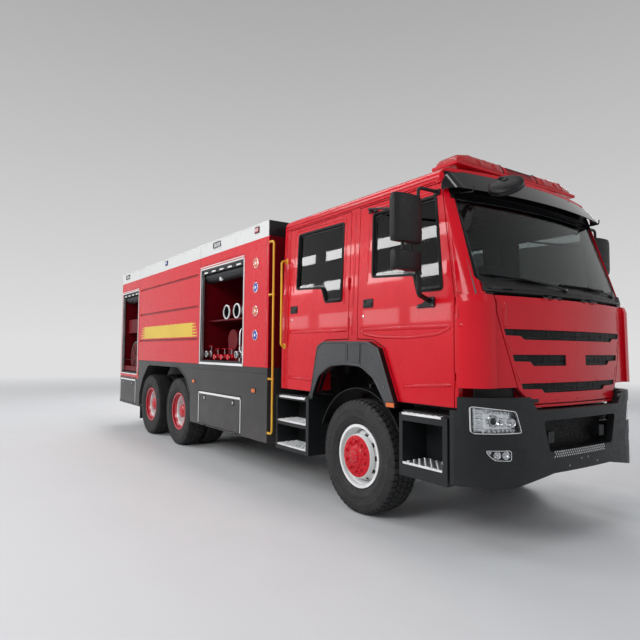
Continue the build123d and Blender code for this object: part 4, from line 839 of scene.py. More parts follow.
# Wheel nuts, hub bolts and valves
def add_front_nuts(side):
    out = 1 if side == "left" else -1
    axis = (0, out, 0)
    x, y, z = JOINTS[f"spin_front_{side}"]["pos_m"]
    kit = Kit(f"wheel_nuts_front_{side}", f"front_wheel_{side}", "wheel_paint")
    # The disc's dished middle stands out of the rim and carries the nuts
    rim, skin, hub = (x, y + out * 0.0985, z), y + out * 0.1525, y + out * 0.1715
    kit.lathe(((0.214, 0.0), (0.208, 0.030), (0.201, 0.044), (0.196, 0.0455)), rim, axis, WHITE, 64)
    kit.lathe((
        (0.197, 0.0), (0.197, 0.045), (0.193, 0.050), (0.182, 0.053), (0.112, 0.055), (0.104, 0.058),
        (0.098, 0.066),
        (0.088, 0.072), (0.066, 0.074), (0.060, 0.074), (0.060, 0.0),
    ), rim, axis, RED, 64, True)
    for centre in ring_of(10, 0.141, (x, skin, z), 0.5):
        kit.bolt(centre, axis, 0.0165, 0.022, RED)
        kit.disc(centre, axis, 0.024, 0.006, RED, 12)
    for a in circle(10):
        ribs = ((0.100, 0.008), (0.125, 0.0), (0.182, 0.0))
        kit.tube([(x + r * cos(a), skin + out * up, z + r * sin(a)) for r, up in ribs], 0.0055, RED, 0.01, 8)
    kit.lathe(
        ((0.062, 0), (0.062, 0.006), (0.05, 0.012), (0.02, 0.014), (0.004, 0.014)), (x, hub, z), axis, RED, 32
    )
    for centre in ring_of(8, 0.047, (x, hub + out * 0.004, z)):
        kit.bolt(centre, axis, 0.006, 0.012, STEEL)
    valve = ((x + 0.2, y + out * 0.085, z + 0.11), (x + 0.215, y + out * 0.125, z + 0.118))
    kit.tube(valve, 0.004, BLACK, 0.005, 8)
    kit.done()


def add_rear_nuts(row, side):
    out = 1 if side == "left" else -1
    axis = (0, out, 0)
    x, y, z = JOINTS[f"spin_{row}_{side}"]["pos_m"]
    kit = Kit(f"wheel_nuts_{row}_{side}", f"{row}_wheels_{side}", "wheel_paint")
    for centre in ring_of(10, 0.152, (x, y + out * 0.0138, z), 0.5):
        kit.bolt(centre, axis, 0.0165, 0.040, RED)
        kit.disc(centre, axis, 0.023, 0.006, RED, 12)
    for centre in ring_of(10, 0.086, (x, y + out * 0.2424, z)):
        kit.bolt(centre, axis, 0.008, 0.010, RED)
    cap = ((0.058, 0), (0.056, 0.006), (0.03, 0.009), (0.004, 0.009))
    kit.lathe(cap, (x, y + out * 0.2495, z), axis, RED, 32)
    kit.done()


for side, _ in SIDES:
    add_front_nuts(side)
    for row in ("mid", "rear"):
        add_rear_nuts(row, side)


class Skin:
    """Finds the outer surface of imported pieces, seen along one axis."""

    def __init__(self, *nodes):
        points, faces = [], []
        for node in nodes:
            mesh = NODES[node].data
            start = len(points)
            points += [vertex.co.copy() for vertex in mesh.vertices]
            faces += [[start + i for i in face.vertices] for face in mesh.polygons]
        self.tree = BVHTree.FromPolygons(points, faces)

    def hit(self, origin, ahead, index):
        spot = self.tree.ray_cast(Vector(origin), Vector(ahead))[0]
        spot = spot or self.tree.find_nearest(Vector(origin))[0]
        return spot[index]

    def side(self, x, z, out):
        """A point off the right flank."""
        return (place(x), self.hit((place(x), -3, z), LEFT, 1) - out, z)

    def front(self, y, z, out):
        return (self.hit((8, y, z), AFT, 0) + out, y, z)

    def top(self, x, y, out):
        return (place(x), y, self.hit((place(x), y, 6), DOWN, 2) + out)


FRONT_DOOR_SKIN = Skin("door_front_right")
REAR_DOOR_SKIN = Skin("door_rear_right")
CAB_SIDE = Skin("cab_shell", "door_front_right", "door_rear_right")
CAB_FRONT = Skin("cab_shell", "front_panel", "windscreen")
PANEL = Skin("front_panel")
BUMPER = Skin("bumper")
ROOF = Skin("cab_shell")


def run(kit, spot, a, b, width, out, material, sink=0.0, count=2):
    """A straight strip over a skin from a to b, width across, standing out by out."""
    a, b = Vector(a), Vector(b)
    across = (b - a).normalized()
    across = Vector((-across.y, across.x)) * width / 2
    soft = min(width * 0.2, out * 0.6) / width
    loops = []
    for k in range(count + 1):
        p = a + (b - a) * k / count
        low, high = p - across, p + across
        edge, ledge = p - across * (1 - 2 * soft), p + across * (1 - 2 * soft)
        loops.append([
            spot(low.x, low.y, -sink), spot(low.x, low.y, out * 0.5), spot(edge.x, edge.y, out),
            spot(ledge.x, ledge.y, out), spot(high.x, high.y, out * 0.5), spot(high.x, high.y, -sink),
        ])
    kit.loft(loops, material)


def path_run(kit, spot, points, width, out, material, bend=0.02, sink=0.0):
    """A bent strip that follows points over a skin."""
    path = softened([(*p, 0) for p in points], bend)
    loops = []
    for i, p in enumerate(path):
        along = heading(path, i)
        across = Vector((-along.y, along.x, 0)) * width / 2
        low, high = p - across, p + across
        loops.append([spot(low.x, low.y, -sink), spot(low.x, low.y, out), spot(high.x, high.y, out),
                      spot(high.x, high.y, -sink)])
    kit.loft(loops, material)


# Section of a pressed line: place across it and height, as shares of its width and its height
RIDGE = (
    (-0.5, -0.0004), (-0.36, 0.12), (-0.16, 0.72), (0.0, 1.0), (0.16, 0.72), (0.36, 0.12), (0.5, -0.0004)
)


def press(kit, spot, points, width, out, material, bend=0.04):
    """A soft pressed line: a low ridge that fades into the skin on both sides."""
    path = softened([(*p, 0) for p in points], bend)
    path = [a + (b - a) * k / 4 for a, b in zip(path, path[1:]) for k in range(4)] + [path[-1]]
    loops = []
    for i, p in enumerate(path):
        along = heading(path, i)
        fade = min(1.0, i / 3, (len(path) - 1 - i) / 3)
        loops.append([
            spot(p.x - along.y * width * t, p.y + along.x * width * t, out * h * fade if h > 0 else h)
            for t, h in RIDGE
        ])
    kit.loft(loops, material)


# Outlines of the doors and windows, ahead of the front axle and above the ground
FRONT_DOOR = [
    (-0.012, 1.660), (0.215, 1.650), (0.375, 1.580), (0.590, 1.100), (1.197, 1.100), (1.197, 1.990),
    (1.040, 2.940),
    (-0.012, 2.940),
]
REAR_DOOR = [
    (-1.310, 1.100), (-0.760, 1.100), (-0.650, 1.600), (-0.540, 1.655), (-0.160, 1.660), (-0.160, 2.940),
    (-1.310, 2.940),
]
FRONT_WINDOW = [
    (0.190, 2.238), (0.740, 2.200), (0.786, 2.050), (1.080, 2.045), (0.985, 2.846), (0.178, 2.850)
]
REAR_WINDOW = [
    (-1.143, 2.238), (-0.640, 2.210), (-0.567, 2.050), (-0.275, 2.045), (-0.275, 2.853), (-1.131, 2.866)
]
LINING_Y, LINING_Z = -1.0985, 2.02

# Pressed lines of each door: points, width and height
PRESSINGS = {
    "front_door": (
        (((0.02, 1.748), (1.17, 1.746)), 0.050, 0.0045),
        (
            ((0.03, 1.732), (0.10, 1.700), (0.30, 1.672), (0.70, 1.660), (1.02, 1.682), (1.16, 1.728)),
            0.034, 0.0035
        ),
        (((0.62, 1.235), (1.17, 1.275)), 0.040, 0.0035),
        (((0.115, 2.20), (0.145, 2.86), (0.20, 2.900), (1.01, 2.885)), 0.030, 0.0030),
    ),
    "rear_door": (
        (((-1.28, 1.752), (-0.19, 1.748)), 0.050, 0.0045),
        (((-1.28, 1.235), (-0.80, 1.225)), 0.040, 0.0035),
        (
            ((-0.235, 2.01), (-0.235, 2.86), (-0.28, 2.905), (-1.15, 2.915), (-1.20, 2.87), (-1.21, 2.20)),
            0.030, 0.0030
        ),
    ),
}


def add_handle(kit, skin, x, z):
    """A black recessed grip with its pull bar."""
    frame = patch(x, z, 0.072, 0.042, 0.014)
    kit.ring(frame, 0.008, skin.side, -0.001, 0.005, BLACK)
    kit.form(shrunk(frame, 0.008), skin.side, -0.001, 0.0012, CHARCOAL, 0.0005)
    kit.form(rect(x - 0.060, x + 0.056, z - 0.026, z + 0.010, 0.010), skin.side, 0.001, 0.011, BLACK, 0.003)
    kit.form(rect(x - 0.060, x - 0.048, z - 0.026, z + 0.032, 0.004), skin.side, 0.001, 0.008, BLACK, 0.002)


def add_lining(side, flip, name, outline):
    """A door's inner lining with its armrest and grip."""
    card = Kit(f"{name}_lining_{side}", f"{name}_{side}", "black_plastic", flip)
    low = [(place(x), min(z, LINING_Z)) for x, z in rounded(shrunk(outline, 0.055), 0.04)]
    card.prism(low, "y", LINING_Y, LINING_Y + 0.012, BLACK, 0.003)
    x = sum(x for x, _ in outline) / len(outline) - 0.05
    arm = (place(x - 0.26), LINING_Y + 0.008, 1.815), (place(x + 0.20), LINING_Y + 0.050, 1.862)
    card.box(*arm, CHARCOAL, 0.012)
    grip = [
        (x + dx, LINING_Y + dy, 1.93)
        for dx, dy in ((-0.16, 0.01), (-0.16, 0.045), (0.10, 0.045), (0.10, 0.01))
    ]
    card.tube(placed(*grip), 0.010, BLACK, 0.02)
    card.done()


def add_door(side, flip, name, skin, outline, window, handle, lock):
    kit = Kit(f"{name}_trim_{side}", f"{name}_{side}", "black_plastic", flip)
    # Rubber in the window opening, with a lip over the paint, and the black border baked on the glass
    opening = rounded(window, 0.030)
    kit.ring(opening, 0.013, skin.side, -0.018, 0.0022, SEAL)
    kit.ring(shrunk(opening, -0.009), 0.011, skin.side, -0.0006, 0.0028, SEAL)
    kit.ring(shrunk(opening, 0.012), 0.022, skin.side, -0.0205, -0.0185, GLOSS)
    add_handle(kit, skin, *handle)
    kit.disc(skin.side(*lock, -SEAT), RIGHT, 0.013, 0.004, CHROME, 20)
    kit.form(patch(*lock, 0.0012, 0.005), skin.side, 0.0036, 0.0042, BLACK, 0.0002)
    kit.done()
    lines = Kit(f"{name}_pressings_{side}", f"{name}_{side}", "red_paint", flip)
    for points, width, out in PRESSINGS[name]:
        press(lines, skin.side, points, width, out, RED)
    lines.done()
    add_lining(side, flip, name, outline)

for side, flip in SIDES:
    add_door(
        side, flip, "front_door", FRONT_DOOR_SKIN, FRONT_DOOR, FRONT_WINDOW, (0.145, 1.991), (0.073, 1.871)
    )
    add_door(
        side, flip, "rear_door", REAR_DOOR_SKIN, REAR_DOOR, REAR_WINDOW, (-1.175, 2.004), (-1.215, 1.885)
    )


def add_cab_side(side, flip):
    """Weather strips in the door gaps, the gutter over the doors, seams and the grab handle's feet."""
    kit = Kit(f"cab_seals_{side}", "chassis", "black_plastic", flip)
    for outline in (FRONT_DOOR, REAR_DOOR):
        kit.ring(shrunk(outline, -0.0079), 0.0045, on_cab, -0.030, -0.012, SEAL)
    kit.done()
    red = Kit(f"cab_gutters_{side}", "chassis", "red_paint", flip)
    for z, out, height in ((2.968, 0.011, 0.010), (3.004, 0.006, 0.012)):
        path_run(
            red, CAB_SIDE.side, ((-1.405, z), (0.985, z), (1.012, z - 0.030)), height, out, RED, 0.02, 0.002
        )
    # Posts between and behind the doors, the screen's corner, and the panel ahead of the door
    for points, width, out in (
        (((-0.100, 1.70), (-0.085, 2.30), (-0.085, 2.92)), 0.034, 0.003),
        (((-1.375, 1.15), (-1.375, 2.90)), 0.030, 0.003),
        (((1.105, 2.74), (1.215, 2.06), (1.232, 1.97)), 0.030, 0.0035),
        (((1.225, 1.746), (1.330, 1.744)), 0.044, 0.004),
    ):
        press(red, CAB_SIDE.side, points, width, out, RED)
    red.done()
    lines = Kit(f"cab_seams_{side}", "chassis", "black_plastic", flip)
    seam = ((1.206, 2.005), (1.262, 2.005), (1.275, 1.990), (1.285, 1.800), (1.215, 1.780))
    path_run(lines, CAB_SIDE.side, seam, 0.0045, 0.0006, SEAL, 0.008)
    lines.done()
    feet = Kit(f"grab_feet_{side}", "chassis", "yellow_paint", flip)
    for z in (1.59, 2.59):
        x, y, z = CAB_SIDE.side(-1.375, z, 0.0)
        feet.disc((x, y, z), RIGHT, 0.034, 0.010, YELLOW, 24)
        for k in range(3):
            a = 2 * pi * k / 3 + 0.5
            feet.bolt((x + 0.024 * cos(a), y - 0.009, z + 0.024 * sin(a)), RIGHT, 0.005, 0.004, STEEL)
    feet.done()


both_sides(add_cab_side)


# Door mirrors: shells with a rounded back, glass, links and feet
MIRROR_X, MIRROR_ARM_Y = 1.0, -1.340


def add_mirror_head(kit, z0, z1, y0, y1):
    middle = (y0 + y1) / 2
    loops = []
    for t in (0.0, 0.02, 0.06, 0.14, 0.5, 0.86, 0.94, 0.98, 1.0):
        z = z0 + (z1 - z0) * t
        draw = 1 - 0.10 * max(0.0, (abs(t - 0.5) - 0.36) / 0.14) ** 2
        half = (y1 - y0) / 2 * draw
        back = [pi * k / 24 for k in range(25)]
        ring = [(place(0.985) + 0.059 * draw * sin(a) ** 0.7, middle - half * cos(a), z) for a in back]
        loops.append(ring + [(place(0.960), middle + half * share, z) for share in (0.97, -0.97)])
    kit.loft(loops, BLACK)
    glass = rect(y0 + 0.016, y1 - 0.016, z0 + 0.016, z1 - 0.016, 0.03)
    kit.prism(glass, "x", place(0.9555), place(0.9615), MIRROR, 0.001)
    rim = rect(y0 + 0.008, y1 - 0.008, z0 + 0.008, z1 - 0.008, 0.035)
    kit.ring(rim, 0.009, AXES["x"], place(0.9552), place(0.9635), BLACK)


def add_mirror(side, flip):
    kit = Kit(f"mirror_head_{side}", f"front_door_{side}", "black_plastic", flip)
    add_mirror_head(kit, 2.407, 2.788, -1.618, -1.302)
    add_mirror_head(kit, 2.182, 2.338, -1.612, -1.306)
    x, arm = MIRROR_X, MIRROR_ARM_Y
    for y in (-1.51, -1.41):
        kit.tube(placed((x, y, 2.33), (x, y, 2.43)), 0.0135, BLACK)
        for z in (2.340, 2.408):
            kit.disc((place(x), y, z), UP, 0.021, 0.013, BLACK, 20)
    kit.tube(placed((0.945, -1.160, 1.962), (x, arm, 1.997), (x, arm, 2.185)), 0.0205, BLACK, 0.045, 16)
    kit.tube(placed((1.010, -1.118, 2.868), (x, arm, 2.868), (x, arm, 2.785)), 0.0145, BLACK, 0.045, 16)
    kit.disc((place(x), arm, 2.155), UP, 0.028, 0.032, BLACK, 24)
    # Lower foot: a cast bracket that spreads along the door, and upper foot
    spot = FRONT_DOOR_SKIN.side
    foot = [(0.800, 1.905), (1.000, 1.905), (1.000, 1.990), (0.925, 1.995), (0.870, 1.945), (0.800, 1.932)]
    kit.form(rounded(foot, 0.012), spot, -SEAT, 0.016, BLACK, 0.004)
    kit.form(rect(0.965, 1.035, 2.842, 2.892, 0.012), spot, -SEAT, 0.016, BLACK, 0.004)
    for x, z in ((0.822, 1.918), (0.985, 1.920), (0.985, 1.975)):
        kit.bolt(spot(x, z, 0.015), RIGHT, 0.006, 0.005, STEEL)
    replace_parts(kit.done(), f"mirror_{side}")
    stay = Kit(f"mirror_stay_{side}", f"front_door_{side}", "black_plastic", flip)
    stay.form(rect(0.12, 0.25, 2.862, 2.886, 0.008, 4), spot, -SEAT, 0.018, BLACK, 0.004)
    stay.tube(
        [spot(0.18, 2.872, 0.014), *placed((0.32, -1.30, 2.84), (0.93, -1.44, 2.70))], 0.011, BLACK, 0.06
    )
    stay.done()


both_sides(add_mirror)


# Windscreen: cowl, wipers and the blind-spot mirror under the visor
COWL_HALF, COWL_Z, COWL_RISE = 1.045, 2.006, 0.105


def cowl(u, v, out):
    """The cowl's skin. Its rims dip under the screen and the panel."""
    y = -COWL_HALF + 2 * COWL_HALF * u
    wide = abs(y / COWL_HALF)
    z = COWL_Z + (COWL_RISE + 0.048 * wide**5) * v
    bulge = 0.016 * sin(pi * min(1.0, v * 1.02)) * (1 - 0.5 * wide**6)
    lift = 0.0060 if 0.01 < v else -0.0060
    return CAB_FRONT.front(y, z, lift + bulge + out)


def on_cowl(y, z, out):
    return cowl((y + COWL_HALF) / (2 * COWL_HALF), (z - COWL_Z) / COWL_RISE, out)


def add_wipers():
    kit = Kit("wipers", "chassis", "black_plastic")
    for pivot, low, high in ((-0.06, (-0.99, 2.158), (-0.20, 2.118)), (0.86, (-0.07, 2.126), (0.74, 2.130))):
        x, y, z = cowl((pivot + COWL_HALF) / (2 * COWL_HALF), 0.62, 0.0)
        kit.disc((x - 0.004, y, z), (1, 0, 0.3), 0.024, 0.022, BLACK, 20)
        kit.bolt((x + 0.017, y, z + 0.006), (1, 0, 0.3), 0.009, 0.010, STEEL)
        lift = CAB_FRONT.front((low[0] + high[0]) / 2, (low[1] + high[1]) / 2 + 0.004, 0.034)
        kit.tube(
            ((x + 0.014, y, z + 0.004), (x + 0.026, pivot - 0.10, z + 0.014), lift), 0.0065, BLACK, 0.03, 10
        )
        run(kit, CAB_FRONT.front, low, high, 0.013, 0.016, BLACK, -0.002, 10)
        run(kit, lambda a, b, t: CAB_FRONT.front(a, b, t + 0.016), (low[0] + 0.05, low[1] + 0.002),
            (high[0] - 0.05, high[1] + 0.002), 0.007, 0.010, BLACK, 0.001, 8)
    kit.done()


def add_spot_mirror():
    kit = Kit("spot_mirror", "chassis", "black_plastic")
    face = Vector((-0.25, 0.6, -0.76)).normalized()
    centre = Vector((place(1.405), -0.750, 2.885))
    back = centre - face * 0.056
    shell = (
        (0.1405, -0.004), (0.1425, 0.006), (0.136, 0.018), (0.108, 0.034), (0.066, 0.044), (0.003, 0.047)
    )
    kit.lathe(shell, centre - face * 0.011, -face, BLACK, 48)
    rim = ((0.1425, 0.0), (0.1425, 0.014), (0.134, 0.016), (0.131, 0.010), (0.131, 0.0))
    kit.lathe(rim, centre + face * 0.004, face, BLACK, 48, True)
    glass = ((0.131, 0.0), (0.110, 0.005), (0.060, 0.009), (0.003, 0.010))
    kit.lathe(glass, centre + face * 0.0155, face, MIRROR, 48)
    kit.lathe(
        ((0.026, 0.0), (0.026, 0.016), (0.018, 0.022), (0.003, 0.022)), back + face * 0.010, -face, BLACK, 24
    )
    kit.tube(
        (back, (back.x - 0.03, back.y, back.z + 0.035), (place(1.245), -0.760, 2.925)), 0.009, BLACK, 0.02
    )
    for y in (-0.995, 0.995):
        inner = y * 0.965
        stay = placed((1.085, y, 2.905), (1.095, y, 2.860), (1.245, inner, 2.840), (1.250, inner, 2.885))
        kit.tube(stay, 0.006, BLACK, 0.02, 10)
    kit.done()


def add_screen_parts():
    kit = Kit("cowl", "chassis", "black_plastic")
    kit.sheet(cowl, 48, 16, 0.0008, COWL)
    for k in range(9):
        slit = rect(-0.775 + k * 0.18, -0.665 + k * 0.18, 2.046, 2.052, 0.002, 1)
        kit.form(slit, on_cowl, -SEAT, 0.0012, CHARCOAL, 0.0004)
    kit.done()
    add_wipers()
    add_spot_mirror()


add_screen_parts()


# Front lamps: a dark surround in the bumper's pocket, silver edge, clear cover, bowls and projectors
HEAD_POCKET = [(1.165, 1.140), (1.150, 0.905), (0.650, 0.925), (0.690, 1.098)]
HEADLAMP = [(1.137, 1.126), (1.134, 0.914), (0.786, 0.918), (0.842, 1.088)]
FOG_POCKET = [(1.075, 0.800), (1.040, 0.730), (0.975, 0.692), (0.755, 0.692), (0.755, 0.800)]
FOG_LAMP = [(1.062, 0.794), (1.040, 0.752), (1.005, 0.716), (0.884, 0.712), (0.884, 0.794)]


def arc_through(a, b, c):
    """Centre and radius of the circle through three flat points."""
    (ax, ay), (bx, by), (cx, cy) = a, b, c
    twice = 2 * (ax * (by - cy) + bx * (cy - ay) + cx * (ay - by))
    a2, b2, c2 = ax * ax + ay * ay, bx * bx + by * by, cx * cx + cy * cy
    x = (a2 * (by - cy) + b2 * (cy - ay) + c2 * (ay - by)) / twice
    y = (a2 * (cx - bx) + b2 * (ax - cx) + c2 * (bx - ax)) / twice
    return x, y, sqrt((ax - x) ** 2 + (ay - y) ** 2)


def bumper_x(y, by):
    """X of the bumper's skin, drawn in from its face, along the arcs of its plan."""
    nose = place(1.600) - by
    cheek = (nose - 0.045, 0.790 - by / 2)
    y = min(abs(y), 1.188 - by)
    if y < cheek[1]:
        x, _, radius = arc_through((cheek[0], -cheek[1]), (nose, 0.0), cheek)
        return x + sqrt(radius**2 - y * y)
    x, middle, radius = arc_through(cheek, (nose - 0.170, 1.050 - 0.7 * by), (nose - 0.375, 1.190 - by))
    return x + sqrt(max(0.0, radius**2 - (y - middle) ** 2))


def off_bumper(y, z, out):
    """A point off the bumper's skin. The direction out turns evenly round its corners."""
    wide = abs(y)
    turn = 0.146 * wide if wide < 0.79 else 0.115 + (wide - 0.79) * 2.875
    return (bumper_x(y, 0.0) + out * cos(turn), y + (out if y > 0 else -out) * sin(turn), z)


LAMP_AXIS = (1, 0.35, 0)
EDGE_POINTS = 150


def add_lamp_unit(side, flip):
    kit = Kit(f"lamp_units_{side}", "chassis", "lamp_glass", flip)
    for pocket, outline, edge in ((HEAD_POCKET, HEADLAMP, 0.0075), (FOG_POCKET, FOG_LAMP, 0.005)):
        outer = even(rounded(shrunk(pocket, -0.001), 0.020), EDGE_POINTS)
        edge_line = even(rounded(outline, 0.024), EDGE_POINTS)
        kit.surround(outer, shrunk(edge_line, -0.003), off_bumper, -0.045, -0.0003, CHARCOAL)
        kit.ring(edge_line, edge, off_bumper, -0.056, -0.002, CHROME)
        inner = shrunk(edge_line, edge)
        kit.ring(inner, 0.005, off_bumper, -0.054, -0.010, GLOSS)
        inner = shrunk(inner, 0.005)
        kit.plate(inner, off_bumper, -0.0075, 0.0025, COVER_GLASS)
        kit.plate(shrunk(inner, -0.004), off_bumper, -0.056, 0.006, LAMP_SILVER)
    units = ((0.868, 0.995, 0.034, False), (0.938, 1.002, 0.037, False), (1.014, 1.010, 0.046, True))
    for y, z, radius, projector in units:
        at = Vector(off_bumper(y, z, -0.052))
        bowl = (
            (radius, 0.030), (radius * 0.97, 0.028), (radius * 0.82, 0.014), (radius * 0.5, 0.004),
            (0.004, 0.0005)
        )
        kit.lathe(bowl + ((0.004, -0.004), (radius, -0.004)), at, LAMP_AXIS, LAMP_SILVER, 32, True)
        if projector:
            ball = [
                (radius * 0.62 * sin(a), 0.006 + radius * 0.42 * cos(a)) for a in (0.02, 0.4, 0.8, 1.2, 1.57)
            ]
            kit.lathe(ball + [(radius * 0.62, 0.002)], at, LAMP_AXIS, GLOSS, 28)
            collar = [
                (radius * share, d)
                for share, d in ((0.72, 0.004), (0.72, 0.014), (0.60, 0.014), (0.60, 0.004))
            ]
            kit.lathe(collar, at, LAMP_AXIS, ALLOY, 28, True)
        else:
            kit.lathe(((0.008, 0.0), (0.008, 0.022), (0.004, 0.028)), at, LAMP_AXIS, CLEAR_LENS, 16)
    # Ribbed turn lamp in the outer end, and bright facets along the bottom and the top
    for k in range(5):
        z = 0.942 + k * 0.038
        kit.tube([off_bumper(1.074, z, -0.036), off_bumper(1.112, z, -0.036)], 0.013, CLEAR_LENS, 0.01, 10)
    for z, rise, count, start in ((0.938, -SEAT, 8, 0.822), (1.072, 0.0016, 6, 0.868)):
        for k in range(count):
            y = start + k * 0.033
            spot = Vector(off_bumper(y, z + rise * k, -0.046))
            low, high = (spot.x - 0.008, y - 0.014, spot.z - 0.011), (
                spot.x + 0.010, y + 0.014, spot.z + 0.011
            )
            kit.box(low, high, CLEAR_LENS if k % 2 else LAMP_SILVER, 0.003)
    for y, radius in ((0.928, 0.032), (0.996, 0.030)):
        at = Vector(off_bumper(y, 0.754, -0.048))
        bowl = (
            (radius, 0.030), (radius * 0.8, 0.014), (radius * 0.4, 0.003), (0.003, 0.001), (0.003, -0.003)
        )
        kit.lathe(bowl + ((radius, -0.003),), at, LAMP_AXIS, LAMP_SILVER, 28, True)
        kit.lathe(((0.007, 0.0), (0.007, 0.018), (0.003, 0.022)), at, LAMP_AXIS, CLEAR_LENS, 14)
    return kit.done()


lamps = [add_lamp_unit(side, not flip) for side, flip in reversed(SIDES)]
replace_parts(lamps[0], "front_lamps")


# Light bar: base, low red domes with sloped ends, and the plain middle over its speaker
BAR_BACK, BAR_FRONT, BAR_HALF = place(0.732), place(1.033), 0.908
STATIONS = (0.0, 0.03, 0.12, 0.3, 0.6, 0.9, 0.985, 1.0)


def bar_section(low, high, draw):
    """The bar seen from its end, leaning back at the front."""
    x0, x1 = BAR_BACK + draw, BAR_FRONT - draw
    return rounded(
        [(x0, low), (x1, low), (BAR_FRONT - 0.055 - draw, high), (BAR_BACK + 0.040 + draw, high)], 0.034, 5
    )


def add_bar_shell(kit, y0, y1, low, high, material, ends=(0.0, 0.0)):
    """A length of the bar. At an end that slopes, its top runs out."""
    levels = []
    for t in STATIONS:
        y = y0 + (y1 - y0) * t
        fall = max(0.0, ends[0] - (y - y0), ends[1] - (y1 - y)) / max(max(ends), 1e-6)
        draw = 0.006 if t in (0.0, 1.0) else 0.0
        section = bar_section(low, high - (high - low) * 0.62 * fall**1.6 - draw, draw + 0.030 * fall**2)
        levels.append([(x, y, z) for x, z in section])
    kit.loft(levels, material)


def add_light_bar():
    kit = Kit("light_bar_unit", "chassis", "lamp_glass")
    base = [(BAR_BACK, 3.152), (BAR_FRONT, 3.152), (BAR_FRONT - 0.004, 3.184), (BAR_BACK + 0.004, 3.184)]
    kit.prism(rounded(base, 0.012), "y", -BAR_HALF, BAR_HALF, RED, 0.006)
    add_bar_shell(kit, -0.900, -0.262, 3.182, 3.286, RED_LENS, (0.150, 0.0))
    add_bar_shell(kit, 0.262, 0.900, 3.182, 3.286, RED_LENS, (0.0, 0.150))
    add_bar_shell(kit, -0.256, 0.256, 3.182, 3.278, RED)
    bead = bar_section(3.180, 3.289, -0.001)
    for sign in (-1, 1):
        for y, material in ((0.259, BLACK), (0.480, RED_LENS), (0.690, RED_LENS)):
            kit.prism(bead, "y", sign * y - 0.0035, sign * y + 0.0035, material, 0.001)
        # Beacons seen through the lens, as shallow bosses on its face
        for y in (0.37, 0.585):
            boss = ((0.036, -0.004), (0.036, 0.003), (0.026, 0.007), (0.004, 0.008))
            kit.lathe(boss, (BAR_FRONT - 0.026, sign * y, 3.232), (1, 0, 0.5), RED_LENS, 24)
    # Speaker grille in the middle
    for k in range(6):
        z = 3.200 + k * 0.0115
        x0, x1 = BAR_FRONT - 0.030 - (z - 3.19) * 0.5, BAR_FRONT - 0.0015 - (z - 3.182) * 0.53
        kit.box((x0, -0.20, z), (x1, 0.20, z + 0.005), BLACK, 0.001)
    for y in (-0.62, 0.62):
        kit.block(0.80, 0.965, y - 0.030, y + 0.030, 3.106, 3.153, BLACK, 0.006)
        for x in (0.825, 0.940):
            kit.bolt((place(x), y - 0.030, 3.128), RIGHT, 0.008, 0.006, STEEL)
    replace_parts(kit.done(), "light_bar")


add_light_bar()


# Grille: edges, fins and posts in each slot, pressed lines, and the channel round the flap
TOP_SLOT = [(0, 1.722), (0.872, 1.722), (0.852, 1.672), (0.700, 1.668), (0.655, 1.640), (0, 1.640)]
SIDE_SLOT = [(0.150, 1.520), (0.790, 1.520), (0.772, 1.468), (0.600, 1.464), (0.560, 1.430), (0.150, 1.430)]
LOW_SLOT = [(0, 1.292), (0.705, 1.292), (0.690, 1.248), (0.480, 1.244), (0.440, 1.212), (0, 1.212)]
PANEL_EDGE = [(0.600, 1.130), (0.735, 1.250), (0.900, 1.740), (0.935, 1.860), (0.935, 1.985)]


def mirrored(half):
    """The other half of an outline about the middle, in the same turn."""
    return [(-y, z) for y, z in reversed(half)]


def add_slot(kit, half):
    """Edge, fins and posts of a slot that is drawn as one half."""
    whole = mirrored(half)
    for loop in [half[1:-1] + whole[1:-1]] if half[0][0] == 0 else [half, whole]:
        kit.ring(rounded(loop, 0.006, 2), 0.006, on_face, -0.024, -0.002, BLACK)
    (start, top), (reach, _), (_, step), (inner, low) = half[0], half[1], half[2], half[4]
    start, reach, inner = start + 0.004, reach - 0.010, inner - 0.012
    for sign in (-1, 1):
        for z, end in ((top - 0.017, reach - 0.006), (top - 0.033, reach - 0.006), (low + 0.016, inner)):
            a, b = sorted((sign * start, sign * end))
            kit.form(rect(a, b, z - 0.0045, z + 0.0045, 0.002, 1), on_face, -0.022, -0.0065, BLACK, 0.001)
        for k in range(8):
            y = sign * (start + 0.03 + (reach - start - 0.08) * k / 7)
            foot = (step if abs(y) > inner else low) + 0.004
            kit.form(rect(y - 0.003, y + 0.003, foot, top - 0.004), on_face, -0.024, -0.012, BLACK, 0.001)


def add_grille():
    kit = Kit("grille_fins", "grille_flap", "black_plastic")
    for half in (TOP_SLOT, SIDE_SLOT, LOW_SLOT):
        add_slot(kit, half)
    kit.done()
    lines = Kit("grille_pressings", "grille_flap", "red_paint")
    # Beside the slots: points, width, height; then across them
    for sign in (-1, 1):
        for points, width, out in (
            (((0.845, 1.955), (0.868, 1.80), (0.855, 1.738)), 0.05, 0.006),
            (((0.845, 1.645), (0.800, 1.545)), 0.03, 0.004), (((0.760, 1.410), (0.715, 1.315)), 0.03, 0.004),
        ):
            press(lines, PANEL.front, [(sign * y, z) for y, z in points], width, out, RED)
    for z, reach, width, out in (
        (1.738, 0.80, 0.022, 0.004), (1.533, 0.74, 0.022, 0.004), (1.306, 0.66, 0.022, 0.004),
        (1.16, 0.60, 0.03, 0.005)
    ):
        press(lines, PANEL.front, ((-reach, z), (reach, z)), width, out, RED)
    lines.done()
    # Dark channel round the flap, seen through its gap
    seam = Kit("panel_seals", "chassis", "black_plastic")
    seam.ring(shrunk(PANEL_EDGE + mirrored(PANEL_EDGE), -0.0105), 0.0040, on_face, -0.040, -0.026, SEAL)
    seam.done()


add_grille()


